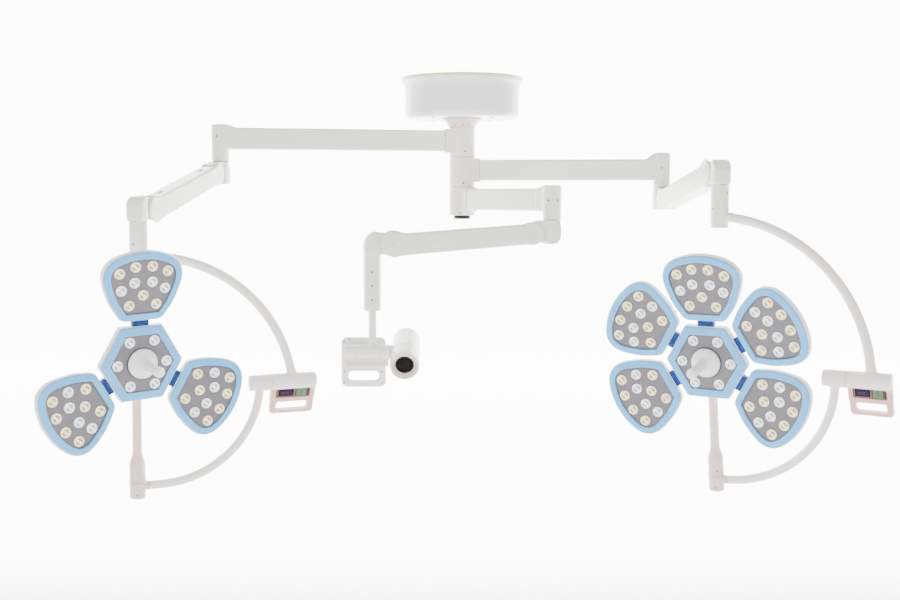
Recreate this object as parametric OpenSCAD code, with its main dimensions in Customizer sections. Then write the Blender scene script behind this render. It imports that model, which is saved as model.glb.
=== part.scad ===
// Ceiling-hung surgical light: two petal heads on double bows and a camera arm.
// Origin: centre of the ceiling flange at the ceiling plane. +Z up, -Y towards the user's side.

/* [Ceiling group] */
// Diameter of the ceiling plate
plate_d = 380; // [360:5:400]
// Bolt circle of the ceiling plate
plate_pcd = 300; // [280:5:320]
// Diameter of the ceiling bolt holes
plate_hole_d = 13; // [11:0.5:14]
// Diameter of the canopy flange
canopy_flange_d = 451; // [440:1:470]
// Diameter of the canopy body
canopy_d = 423; // [410:1:430]
// Depth of the canopy below the ceiling
canopy_h = 150; // [140:1:160]

/* [Arms] */
// Diameter of the arm hubs
hub_d = 94.5; // [90:0.5:100]
// Diameter of the central spindle
spindle_d = 60; // [50:1:62]
// Height of one arm storey
storey = 108.5; // [106:0.5:112]
// Height of the extension arm tube
tube_h = 77; // [70:1:82]
// Width of the extension arm tube
tube_w = 46; // [40:1:50]
// Distance between the two pivots of a spring arm
spring_len = 465; // [440:1:480]
// Width of a spring arm
spring_w = 60; // [58:1:64]

/* [Bows] */
// Diameter of the drop tubes
drop_d = 57; // [54:1:60]
// Outer bow tube diameter
outer_tube_d = 30; // [26:1:32]
// Inner bow tube diameter
inner_tube_d = 28; // [24:1:30]
// Reach of the outer bow from the drop axis
outer_reach = 480; // [470:1:500]
// Reach of the inner bow from the drop axis
inner_reach = 375; // [370:1:380]
// Tilt of the control panels from the vertical
panel_tilt = 26; // [20:1:45]

/* [Heads] */
// Radius of the ring of hub lenses
lens_ring = 80; // [78:0.5:82]
// Diameter of one lens
lens_d = 33; // [30:0.5:34]
// Half width across flats of the hub's light panel
hub_flat = 88; // [86:0.5:90]
// Width of the coloured bezel
bezel_w = 22; // [20:0.5:24]
// Tilt of the petals towards the beam
petal_tilt = 6.7; // [4:0.1:8]
// Radius of the petal hinges
hinge_r = 124; // [122:0.5:126]
// Length of the sterile handle in front of the light panel
handle_len = 125; // [110:1:140]
// Depth from the lens plane to the axis of the head post
post_back = 47; // [46:0.5:50]

/* [Camera] */
// Diameter of the camera body
cam_d = 94; // [80:1:96]
// Length of the camera body
cam_len = 200; // [180:1:210]
// Downward pitch of the camera
cam_pitch = 20; // [15:1:25]

/* [Hidden] */
$fn = 64;
white = [0.91, 0.90, 0.88];
blue = [0.67, 0.81, 0.90];
grey = [0.58, 0.57, 0.59];
steel = [0.72, 0.73, 0.74];

// Chains: 0 = left light, 1 = right light, 2 = camera
arm_dir = [192.1, -6.3, -58.7];
arm_len = [885, 736, 568];
house_up = [50, 62, 48];
house_dn = [81, 63, 66];
spring_dir = [-104.8, -82.2, -173.7];
spring_tilt = [-14.6, 11, -3.8];
off_b = 68;               // base pivot beyond the knuckle's vertical axis
off_t = 68;               // drop axis beyond the tip pivot
zc = [for (i = [0:2]) -231.5 - storey*i];          // height of each extension arm
zh = [for (i = [0:2]) zc[i] - house_dn[i]];        // bottom of each end housing
zb = [for (i = [0:2]) zh[i] - 47];                 // base pivots
zt = [for (i = [0:2]) zb[i] + spring_len*sin(spring_tilt[i])]; // tip pivots

function dir(a) = [cos(a), sin(a)];
function end_xy(i) = arm_len[i]*dir(arm_dir[i]);
function drop_xy(i) = end_xy(i) + (off_b + off_t + spring_len*cos(spring_tilt[i]))*dir(spring_dir[i]);

// Bows: 0 = left light, 1 = right light
bow_yaw = [21, -33];
swing = [6.3, 9.5];
spin = [17, 0];
z_axis = [-1043, -989];       // swivel axis of the panel
z_att = [-625, -503];         // where the outer bow leaves the drop tube
lead = [0, 5];          // angle below level at which each outer bow starts
z_drop = [-650, -538];        // lower end of the drop tube
a3_off = -16;                 // post axis beside the drop axis
rise = [95, 32];              // hub centre above the swivel axis
z_col = [-356, -417];         // lower end of the bottom collar

// Petal seats, degrees from the head's right-hand side
seats = [[90, -30, 210], [90, 30, 150, -30, 210]];

// ---------- outlines ----------
// Convex outline P (anticlockwise) grown by r with round corners
function wrap(a) = a < 0 ? a + 360 : a;
function nrm(a, b) = atan2(-(b[0]-a[0]), b[1]-a[1]);
function grow(P, r, n = 3) = [for (i = [0:len(P)-1])
  let (p = P[i], a = P[(i+len(P)-1)%len(P)], b = P[(i+1)%len(P)], a0 = nrm(a, p), a1 = a0 + wrap(nrm(p, b) - a0))
  for (k = [0:n]) p + r*dir(a0 + (a1-a0)*k/n)];
function rect(w, h) = [[-w/2, -h/2], [w/2, -h/2], [w/2, h/2], [-w/2, h/2]];
function rrect(w, h, r) = grow(rect(w-2*r, h-2*r), r);
function flip(P) = [for (i = [len(P)-1:-1:0]) [-P[i][0], P[i][1]]];

// Right half of the petal's light panel, less its 4 mm corner radius
petal_half = [[50, 165], [76, 203], [91, 240], [99, 265], [102, 280], [99, 292], [90, 304], [62, 316], [32, 324], [0, 326.5]];
petal_P = concat(petal_half, [for (i = [len(petal_half)-2:-1:0]) [-petal_half[i][0], petal_half[i][1]]]);
hub_P = [for (k = [0:5]) hub_flat/cos(30)*dir(60*k)];

// Lens places on a petal: across, outwards
petal_lens = [for (s = [-1, 1]) each [[s*77.3, 290.2], [s*27.1, 308.2], [s*70.3, 236.2], [s*28.6, 258.6], [s*43.5, 186.7]], [0, 217.8]];
hub_lens = [for (k = [0:5]) lens_ring*dir(60*k)];

// ---------- frames ----------
module at_hub(i) rotate([0, 0, arm_dir[i]]) children();
module at_end(i) translate([end_xy(i)[0], end_xy(i)[1], 0]) rotate([0, 0, spring_dir[i]]) children();
module at_base(i) at_end(i) translate([off_b, 0, zb[i]]) children();
module at_spring(i) at_base(i) rotate([0, -spring_tilt[i], 0]) children();
module at_tip(i) at_end(i) translate([off_b + spring_len*cos(spring_tilt[i]), 0, zt[i]]) children();
module at_bow(i) translate([drop_xy(i)[0], drop_xy(i)[1], 0]) rotate([0, 0, bow_yaw[i]]) children();
module at_swing(i) at_bow(i) translate([0, 0, z_axis[i]]) rotate([swing[i], 0, 0]) children();
module at_head(i) at_swing(i) translate([a3_off, 0, 0]) rotate([0, 0, spin[i]]) children();
module at_face(i) at_head(i) translate([0, -post_back, rise[i]]) rotate([90, 0, 0]) children();
module at_petal(i, k) at_face(i) rotate([0, 0, seats[i][k] - 90]) translate([0, hinge_r, 0]) rotate([petal_tilt, 0, 0]) translate([0, -hinge_r, 0]) children();
// Hinge pin of the petal at seat angle a, seen from the face frame
module at_hinge(a) rotate([0, 0, a - 90]) translate([0, hinge_r, 0]) rotate([petal_tilt, 0, 0]) translate([0, 0, -18]) children();
module at_cam() translate([drop_xy(2)[0], drop_xy(2)[1], -951]) children();

module along_x(l) rotate([90, 0, 90]) linear_extrude(l) children();
module bar_y(r, w) rotate([90, 0, 0]) cylinder(r = r, h = w, center = true);
module bar_x(r, x0, x1) translate([x0, 0, 0]) rotate([0, 90, 0]) cylinder(r = r, h = x1 - x0);
module disc(r, z0, z1) translate([0, 0, z0]) cylinder(r = r, h = z1 - z0);
module slab(P, z0, z1) translate([0, 0, z0]) linear_extrude(z1 - z0) polygon(P);

// ---------- ceiling group ----------
module ceiling_plate() color(steel) difference() {
  disc(plate_d/2, -8, 0);
  for (k = [0:5]) rotate([0, 0, 60*k + 30]) translate([plate_pcd/2, 0, -9]) cylinder(d = plate_hole_d, h = 10);
  disc(20, -9, 1);
}
module canopy_cover() color(white) difference() {
  union() {
    disc(canopy_flange_d/2, -18, -0.5);
    disc(canopy_d/2, -canopy_h + 10, -10);
    translate([0, 0, -canopy_h]) cylinder(r1 = canopy_d/2 - 10, r2 = canopy_d/2, h = 10);
  }
  disc(canopy_d/2 - 4, -canopy_h + 12, 1);
  disc(40, -canopy_h - 1, 0);
  for (k = [0:3]) rotate([0, 0, 90*k + 45]) translate([150, 0, -canopy_h - 1]) cylinder(d = 5.4, h = 20);
}
module canopy_screws() color(steel) for (k = [0:3]) rotate([0, 0, 90*k + 45]) translate([150, 0, 0]) {
  disc(2.5, -canopy_h - 0.2, -canopy_h + 20);
  disc(5, -canopy_h - 3, -canopy_h - 0.1);
}
module mount_cone() color(white) difference() {
  union() {
    translate([0, 0, -182]) cylinder(r1 = 48.5, r2 = 65, h = 31.8);
    disc(72, -canopy_h - 6, -canopy_h - 0.2);
  }
  disc(30.6, -183, -100);
}
module center_spindle() color(steel) difference() {
  union() { disc(spindle_d/2, -508.6, -8); disc(95, -22, -8.1); }
  disc(18, -480, 0);
}
module spindle_end_cap() color([0.05, 0.05, 0.05]) {
  disc(32, -518, -508.8);
  translate([0, 0, -521.6]) cylinder(r1 = 28.4, r2 = 32, h = 3.6);
}

// ---------- arms ----------
module arm_hub(i) color(white) at_hub(i) difference() {
  union() {
    disc(hub_d/2, zc[i] - 59, zc[i] + 48.5);
    translate([20, 0, zc[i]]) along_x(48) polygon(rrect(52, 88, 9));
  }
  disc(spindle_d/2 + 0.05, zc[i] - 60, zc[i] + 50);
}
module extension_arm(i) color(white) at_hub(i) difference() {
  union() {
    difference() {
      translate([68.3, 0, zc[i]]) along_x(arm_len[i] - 68.3 - 20) polygon(rrect(tube_w, tube_h, 8));
      translate([68, 0, zc[i]]) along_x(arm_len[i] - 68 - 40) polygon(rrect(tube_w - 8, tube_h - 8, 5));
    }
    translate([arm_len[i], 0, 0]) disc(30.5, zh[i], zc[i] + house_up[i] - 4);
    translate([arm_len[i], 0, zc[i] + house_up[i] - 4.1]) cylinder(r1 = 30.5, r2 = 27, h = 4.1);
    // gusset from the tube to the end housing
    translate([arm_len[i], 0, 0]) rotate([90, 0, 0]) linear_extrude(44, center = true)
      polygon([[-20, zc[i] - 30], [-20, zc[i] + house_up[i] - 5], [-30, zc[i] + house_up[i] - 5], [-62, zc[i] + tube_h/2 - 2], [-62, zc[i] - 30]]);
  }
  translate([arm_len[i], 0, 0]) disc(17.05, zh[i] - 1, zc[i] + house_up[i] - 10);
}
// Elbow that turns from a vertical column at x = 0 to the tongue at x = 68; v = +1 column above, -1 below
module elbow_body(v, rc) {
  translate([68, 0, 0]) bar_y(33, 44);
  translate([0, -22, -24]) cube([68, 44, 48]);
  if (v > 0) { disc(rc, -26, 45.9); translate([0, 0, -44]) cylinder(r1 = 17, r2 = rc, h = 18.1); }
  else { disc(rc, -38, 26); translate([0, 0, 25.9]) cylinder(r1 = rc, r2 = 17, h = 18.1); }
}
module knuckle(i) color(white) at_end(i) translate([0, 0, zb[i]]) difference() {
  union() {
    elbow_body(1, 30);
    disc(17, 40, 47 + house_up[i] + house_dn[i] - 14);
  }
  translate([68, 0, 0]) bar_y(8.05, 60);
}
// Spring arm shell with its two integral pivot pins, x from base pivot to tip pivot
module spring_arm(i) color(white) at_spring(i) {
  difference() {
    rotate([90, 0, 0]) linear_extrude(spring_w, center = true) union() {
      circle(39);
      translate([spring_len, 0]) circle(44);
      polygon([[0, -33], [spring_len, -38], [spring_len, 38], [0, 33]]);
    }
    // cavity between the cheeks, open at both ends for the tongues
    rotate([90, 0, 0]) linear_extrude(46, center = true) union() {
      polygon([[-60, -50], [26, -50], [26, -28.5], [spring_len - 30, -33.5], [spring_len - 30, -50], [spring_len + 60, -50],
        [spring_len + 60, 50], [spring_len - 30, 50], [spring_len - 30, 33.5], [26, 28.5], [26, 50], [-60, 50]]);
    }
    // slots in the top cover for the adjusters
    translate([70, -6, 20]) cube([26, 12, 30]);
    translate([spring_len - 100, -6, 20]) cube([30, 12, 30]);
  }
  bar_y(8, spring_w - 2);
  translate([spring_len, 0, 0]) bar_y(8, spring_w - 2);
}
module balance_spring(i) color(steel) at_spring(i) {
  translate([58, -22, -24]) cube([6, 44, 48]);
  bar_x(13, 63.9, 300);
  bar_x(6, 299.9, spring_len - 60);
  translate([spring_len - 64, -22, -26]) cube([6, 44, 52]);
}
module arm_tip(i) color(white) at_tip(i) translate([off_t, 0, 0]) rotate([0, 0, 180]) difference() {
  union() {
    elbow_body(-1, drop_d/2);
    if (i == 2) disc(drop_d/2, -814 - zt[2], -37.9);
  }
  translate([68, 0, 0]) bar_y(8.05, 60);
  if (i < 2) disc(15.05, -39, 22);
  else disc(13.05, -815 - zt[2], -700 - zt[2]);
}

// ---------- camera ----------
module camera_swivel_tube() color(white) at_cam() difference() {
  disc(13, 20, 245);
  disc(9, 30, 246);
}
module camera_bracket() color(white) at_cam() {
  difference() {
    union() {
      bar_x(24.5, -91, 60);
      translate([-91, -2, -48]) cube([143, 26.6, 45]);
    }
    bar_x(8.05, 20, 61);
    disc(13, 20, 60);
  }
}
module camera_handle_plate() color(white) at_cam() translate([-32, 24.8, 0]) rotate([-90, 0, 0]) difference() {
  slab([for (p = rrect(148, 165, 18)) [p[0], p[1] + 36]], 0, 9);
  slab([for (p = rrect(102, 30, 12)) [p[0], p[1] + 83]], -1, 10);
}
// Camera optical axis: local Z points out of the lens
module at_cam_axis() at_cam() translate([109, 0, 0]) rotate([90 + cam_pitch, 0, 0]) children();
module camera_body() color(white) {
  at_cam_axis() difference() {
    union() {
      disc(cam_d/2, -cam_len/2 + 8, cam_len/2);
      translate([0, 0, -cam_len/2]) cylinder(r1 = cam_d/2 - 8, r2 = cam_d/2, h = 8.1);
    }
    disc(30, cam_len/2 - 14, cam_len/2 + 1);
  }
  at_cam() bar_x(8, 22, 70);
}
module camera_lens() color([0.04, 0.04, 0.05]) at_cam_axis() {
  difference() { disc(29.8, cam_len/2 - 13.8, cam_len/2 - 2); disc(24, cam_len/2 - 9, cam_len/2); }
  disc(23.8, cam_len/2 - 8.8, cam_len/2 - 5);
}
module camera_knob() color(white) at_cam_axis() translate([0, -cam_d/2 + 1.5, 10]) rotate([90, 0, 0]) {
  translate([0, 0, 1.8]) cylinder(r1 = 17, r2 = 11, h = 36);
}

// ---------- bows ----------
// Tube in the XZ plane: level start at the origin, quarter turn, upright end at x = reach; v = up or down
module bow_tube(t, reach, h, v) {
  r = min(reach, h);
  if (reach - r > 1) bar_x(t, 0, reach - r);
  mirror([0, 0, v > 0 ? 0 : 1]) translate([reach - r, 0, r]) rotate([90, 0, 0]) rotate([0, 0, -90])
    rotate_extrude(angle = 90, $fn = 96) translate([r, 0]) circle(t);
  if (h - r > 1) translate([reach, 0, v > 0 ? r : -h]) cylinder(r = t, h = h - r);
}
// One arc that falls by h over the reach and leaves its start a degrees below level
module bow_arc(t, reach, h, a) {
  b = 2*atan2(h, reach) - a;
  r = reach/(sin(b) - sin(a));
  mirror([0, 0, 1]) translate([-r*sin(a), 0, r*cos(a)]) rotate([90, 0, 0]) rotate([0, 0, a - 90])
    rotate_extrude(angle = b - a, $fn = 96) translate([r, 0]) circle(t);
}
module drop_tube(i) color(white) at_bow(i) union() {
  disc(drop_d/2, z_drop[i] + 3, zt[i] - 38.6);
  translate([0, 0, z_drop[i]]) cylinder(r1 = drop_d/2 - 3, r2 = drop_d/2, h = 3.1);
  disc(15, zt[i] - 39, zt[i] + 20);
}
module outer_bow(i) color(white) at_bow(i) translate([20, 0, z_att[i]])
  bow_arc(outer_tube_d/2, outer_reach - 20, z_att[i] - z_axis[i] - 24, lead[i]);
// Panel housing: barrel on the swivel axis with a plate that hangs down and back
module panel_housing(i) color(white) at_bow(i) translate([0, 0, z_axis[i]]) difference() {
  union() {
    rotate([panel_tilt - 45, 0, 0]) bar_x(27, 412, 560);
    rotate([panel_tilt, 0, 0]) translate([486, 0, -60]) {
      // local -Y is the face side, local -Z the way down
      translate([-74, -13, 0]) cube([148, 24, 60]);
      translate([0, 9, 0]) rotate([90, 0, 0]) linear_extrude(18) difference() {
        polygon([for (p = rrect(148, 80, 14)) [p[0], p[1] - 24]]);
        polygon([for (p = rrect(102, 30, 12)) [p[0], p[1] - 33]]);
      }
    }
    translate([outer_reach, 0, 0]) disc(19, 15, 29);
  }
  bar_x(12.05, 411, 474);
  rotate([panel_tilt, 0, 0]) translate([486, -13, -37]) cube([112.4, 5, 38.4], center = true);
}
module panel_face(i) at_bow(i) translate([0, 0, z_axis[i]]) rotate([panel_tilt, 0, 0]) translate([486, -10.6, -37]) rotate([90, 0, 0]) {
  color([0.55, 0.52, 0.50]) difference() {
    slab(rrect(112, 38, 3), 0, 2.2);
    slab([for (p = rect(50, 26)) [p[0] - 24, p[1]]], 1, 3);
    for (a = [0, 1], b = [0:2]) translate([17 + 20*a, -11.5 + 11.5*b, 1]) linear_extrude(2) polygon(rect(16.4, 9.4));
  }
  color([0.1, 0.08, 0.14]) slab([for (p = rect(49.6, 25.6)) [p[0] - 24, p[1]]], 1.2, 2);
  color([0.35, 0.6, 0.3]) for (a = [0, 1], b = [0:2]) translate([17 + 20*a, -11.5 + 11.5*b, 1.2]) linear_extrude(1.4) polygon(rect(16, 9));
}
module inner_bow(i) color(white) at_swing(i) difference() {
  union() {
    bar_x(26, 340, 411.5);
    bar_x(12, 411, 470);
    translate([a3_off, 0, 0]) {
      disc(25, z_col[i] + 3, z_col[i] + 53.5);
      translate([0, 0, z_col[i]]) cylinder(r1 = 22, r2 = 25, h = 3.1);
      translate([0, 0, z_col[i] + 38]) bow_tube(inner_tube_d/2, inner_reach - a3_off, -z_col[i] - 38, 1);
    }
  }
  translate([a3_off, 0, 0]) disc(10.05, z_col[i] + 10, z_col[i] + 60);
}

// ---------- heads ----------
module head_post(i) color(white) at_head(i) {
  disc(10, z_col[i] + 12, z_col[i] + 54.5);
  disc(26.5, z_col[i] + 54.2, z_col[i] + 59.5);
  disc(25, z_col[i] + 59, z_col[i] + 118);
  translate([0, 0, z_col[i] + 117.9]) cylinder(r1 = 25, r2 = 15, h = 30.1);
  disc(15, z_col[i] + 147, rise[i] - 72);
}
module hub_shell(i) color(white) at_face(i) difference() {
  union() {
    slab(grow(hub_P, bezel_w + 2), -34, -4.2);
    slab(grow(hub_P, 15), -48, -33.9);
    slab(grow(hub_P, 5), -63, -47.9);
    disc(85, -90, -62.9);
    translate([0, 0, -115]) cylinder(r1 = 66, r2 = 85, h = 25.1);
    // hinge lugs
    for (a = seats[i]) at_hinge(a) for (s = [-1, 1]) translate([14*s, 0, 0]) {
      translate([-3, -19, -7]) cube([6, 19, 14]);
      rotate([0, 90, 0]) cylinder(r = 7, h = 6, center = true);
    }
  }
  slab(grow(hub_P, bezel_w - 2), -28, 0);
  for (a = seats[i]) at_hinge(a) rotate([0, 90, 0]) cylinder(r = 4.05, h = 60, center = true);
  disc(10.05, -46, -20);
  // socket of the post
  translate([0, -74, -post_back]) rotate([90, 0, 0]) cylinder(r = 15.05, h = 60);
}
module hub_bezel(i) color(blue) at_face(i) difference() {
  slab(grow(hub_P, bezel_w + 2), -4, 4);
  slab(grow(hub_P, 2), -5, 5);
}
module lens(p) translate([p[0], p[1], -1.4]) cylinder(d = lens_d, h = 2.6);
module hub_light_panel(i) {
  color(grey) at_face(i) difference() { slab(grow(hub_P, 1.6), -3.6, -1.6); disc(12, -5, 0); }
  color([0.95, 0.96, 0.97]) at_face(i) for (p = hub_lens) lens(p);
}
module bellows(i) color([0.12, 0.32, 0.60]) at_face(i) for (a = seats[i]) rotate([0, 0, a - 90]) difference() {
  translate([0, 0, -31]) linear_extrude(27) polygon(concat(
    [for (k = [0:6]) [k % 2 == 0 ? 27 : 24.6, 112.6 + 3.6*k]], [for (k = [6:-1:0]) [k % 2 == 0 ? -27 : -24.6, 112.6 + 3.6*k]]));
  translate([-20, 100, -27.5]) cube([40, 50, 20]);
}
module handle(i) color([0.95, 0.95, 0.94]) at_face(i) {
  rotate_extrude($fn = 72) polygon([[0, 1.6], [47, 1.6], [47.5, 6], [45, 13], [38, 19], [26, 24], [19, 29], [17, 36], [16.5, 60],
    [15, handle_len - 14], [13.5, handle_len - 5], [9, handle_len - 1], [0, handle_len]]);
  disc(10, -44, 2);
}
module petal(i, k) at_petal(i, k) {
  color(white) difference() {
    union() {
      slab(grow(petal_P, bezel_w + 4, 2), -28, -4.2);
      slab(grow(petal_P, bezel_w - 2, 1), -36, -27.9);
      slab(grow(petal_P, 8, 1), -41, -35.9);
    }
    slab(grow(petal_P, bezel_w, 1), -25, 0);
    slab(grow(petal_P, bezel_w - 6, 1), -33, -24.9);
    slab(grow(petal_P, 4, 1), -38, -32.9);
  }
  // hinge tongue with its pin
  color(steel) {
    translate([-10, hinge_r, -24.8]) cube([20, 19, 13.6]);
    translate([0, hinge_r, -18]) rotate([0, 90, 0]) cylinder(r = 6.8, h = 20, center = true);
    translate([0, hinge_r, -18]) rotate([0, 90, 0]) cylinder(r = 4, h = 36, center = true);
  }
  color(blue) difference() {
    slab(grow(petal_P, bezel_w + 4, 2), -4, 4);
    slab(grow(petal_P, 4, 1), -5, 5);
  }
  color(grey) slab(grow(petal_P, 3.6, 1), -3.6, -1.6);
  color([0.95, 0.92, 0.82]) for (p = petal_lens) lens(p);
}

ceiling_plate();
canopy_cover();
canopy_screws();
mount_cone();
center_spindle();
spindle_end_cap();
arm_hub(0);  // left_arm_hub
extension_arm(0);  // left_extension_arm
knuckle(0);  // left_knuckle
spring_arm(0);  // left_spring_arm
balance_spring(0);  // left_balance_spring
arm_tip(0);  // left_arm_tip
arm_hub(1);  // right_arm_hub
extension_arm(1);  // right_extension_arm
knuckle(1);  // right_knuckle
spring_arm(1);  // right_spring_arm
balance_spring(1);  // right_balance_spring
arm_tip(1);  // right_arm_tip
arm_hub(2);  // camera_arm_hub
extension_arm(2);  // camera_extension_arm
knuckle(2);  // camera_knuckle
spring_arm(2);  // camera_spring_arm
balance_spring(2);  // camera_balance_spring
arm_tip(2);  // camera_arm_tip
camera_swivel_tube();
camera_bracket();
camera_handle_plate();
camera_body();
camera_lens();
camera_knob();
drop_tube(0);  // left_drop_tube
outer_bow(0);  // left_outer_bow
panel_housing(0);  // left_panel_housing
panel_face(0);  // left_panel_face
inner_bow(0);  // left_inner_bow
head_post(0);  // left_head_post
hub_shell(0);  // left_hub_shell
hub_bezel(0);  // left_hub_bezel
hub_light_panel(0);  // left_hub_light_panel
bellows(0);  // left_bellows
handle(0);  // left_handle
petal(0, 0);  // left_petal_top
petal(0, 1);  // left_petal_right
petal(0, 2);  // left_petal_left
drop_tube(1);  // right_drop_tube
outer_bow(1);  // right_outer_bow
panel_housing(1);  // right_panel_housing
panel_face(1);  // right_panel_face
inner_bow(1);  // right_inner_bow
head_post(1);  // right_head_post
hub_shell(1);  // right_hub_shell
hub_bezel(1);  // right_hub_bezel
hub_light_panel(1);  // right_hub_light_panel
bellows(1);  // right_bellows
handle(1);  // right_handle
petal(1, 0);  // right_petal_top
petal(1, 1);  // right_petal_upper_right
petal(1, 2);  // right_petal_upper_left
petal(1, 3);  // right_petal_lower_right
petal(1, 4);  // right_petal_lower_left
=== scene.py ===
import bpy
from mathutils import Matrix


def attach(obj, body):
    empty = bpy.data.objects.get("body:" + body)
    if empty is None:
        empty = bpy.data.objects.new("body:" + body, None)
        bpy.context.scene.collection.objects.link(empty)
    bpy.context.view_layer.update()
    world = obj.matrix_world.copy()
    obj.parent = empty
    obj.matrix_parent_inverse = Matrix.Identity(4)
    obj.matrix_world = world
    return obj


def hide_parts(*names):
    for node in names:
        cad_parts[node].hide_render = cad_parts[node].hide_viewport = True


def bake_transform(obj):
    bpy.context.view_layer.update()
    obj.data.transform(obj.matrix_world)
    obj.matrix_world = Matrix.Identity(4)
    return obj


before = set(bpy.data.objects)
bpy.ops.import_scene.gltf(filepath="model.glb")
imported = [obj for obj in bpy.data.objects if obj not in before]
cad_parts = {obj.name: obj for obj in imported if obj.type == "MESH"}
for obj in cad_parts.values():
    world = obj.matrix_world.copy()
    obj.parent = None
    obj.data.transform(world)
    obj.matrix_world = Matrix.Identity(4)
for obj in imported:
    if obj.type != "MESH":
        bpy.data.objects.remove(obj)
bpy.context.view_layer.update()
import math
import bpy
import bmesh
import numpy as np
from mathutils import Vector

MM = 0.001


# ------------------------------------------------------------------ frames
def rot(ax, a):
    c, s = math.cos(math.radians(a)), math.sin(math.radians(a))
    m = np.eye(4)
    if ax == "x":
        m[:3, :3] = [[1, 0, 0], [0, c, -s], [0, s, c]]
    elif ax == "y":
        m[:3, :3] = [[c, 0, s], [0, 1, 0], [-s, 0, c]]
    else:
        m[:3, :3] = [[c, -s, 0], [s, c, 0], [0, 0, 1]]
    return m


def mov(x, y, z):
    m = np.eye(4)
    m[:3, 3] = [x, y, z]
    return m


I4 = np.eye(4)
ARM_DIR = [192.1, -6.3, -58.7]
ARM_LEN = [885, 736, 568]
UP = [50, 62, 48]
DN = [81, 63, 66]
SPR_DIR = [-104.8, -82.2, -173.7]
SPR_TILT = [-14.6, 11, -3.8]
S = 465
ZC = [-231.5 - 108.5 * i for i in range(3)]
ZH = [ZC[i] - DN[i] for i in range(3)]
ZB = [ZH[i] - 47 for i in range(3)]
ZT = [ZB[i] + S * math.sin(math.radians(SPR_TILT[i])) for i in range(3)]
YAW = [21, -33]
SWING = [6.3, 9.5]
SPIN = [17, 0]
Z_AX = [-1043, -989]
Z_ATT = [-625, -503]
Z_DROP = [-650, -538]
A3 = -16
RISE = [95, 32]
Z_COL = [-356, -417]
LEAD = [0, 5]
PANEL_TILT = 26
PANEL_END = [560, 541]
SEATS = [[90, -30, 210], [90, 30, 150, -30, 210]]
PETALS = [["top", "right", "left"], ["top", "upper_right", "upper_left", "lower_right", "lower_left"]]
BACK = 47
HINGE = 124
TILT = 6.7


def d2(a):
    return np.array([math.cos(math.radians(a)), math.sin(math.radians(a))])


END = [ARM_LEN[i] * d2(ARM_DIR[i]) for i in range(3)]
DROP = [END[i] + (136 + S * math.cos(math.radians(SPR_TILT[i]))) * d2(SPR_DIR[i]) for i in range(3)]


def F_hub(i):
    return rot("z", ARM_DIR[i])


def F_end(i):
    return mov(END[i][0], END[i][1], 0) @ rot("z", SPR_DIR[i])


def F_knuckle(i):
    return F_end(i) @ mov(0, 0, ZB[i])


def F_spring(i):
    return F_end(i) @ mov(68, 0, ZB[i]) @ rot("y", -SPR_TILT[i])


def F_tip(i):
    return F_end(i) @ mov(68 + S * math.cos(math.radians(SPR_TILT[i])) + 68, 0, ZT[i]) @ rot("z", 180)


def F_bow(i):
    return mov(DROP[i][0], DROP[i][1], 0) @ rot("z", YAW[i])


def F_swing(i):
    return F_bow(i) @ mov(0, 0, Z_AX[i]) @ rot("x", SWING[i])


def F_head(i):
    return F_swing(i) @ mov(A3, 0, 0) @ rot("z", SPIN[i])


def F_face(i):
    return F_head(i) @ mov(0, -BACK, RISE[i]) @ rot("x", 90)


def F_petal(i, k):
    return F_face(i) @ rot("z", SEATS[i][k] - 90) @ mov(0, HINGE, 0) @ rot("x", TILT) @ mov(0, -HINGE, 0)


F_CAM = mov(DROP[2][0], DROP[2][1], -951)
F_AXIS = F_CAM @ mov(109, 0, 0) @ rot("x", 110)


def apply(F, V):
    V = np.asarray(V, float)
    return V @ F[:3, :3].T + F[:3, 3]


# ------------------------------------------------------------------ materials
def lin(c):
    return tuple((x / 255 / 12.92) if x / 255 <= 0.04045 else ((x / 255 + 0.055) / 1.055) ** 2.4 for x in c)


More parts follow.
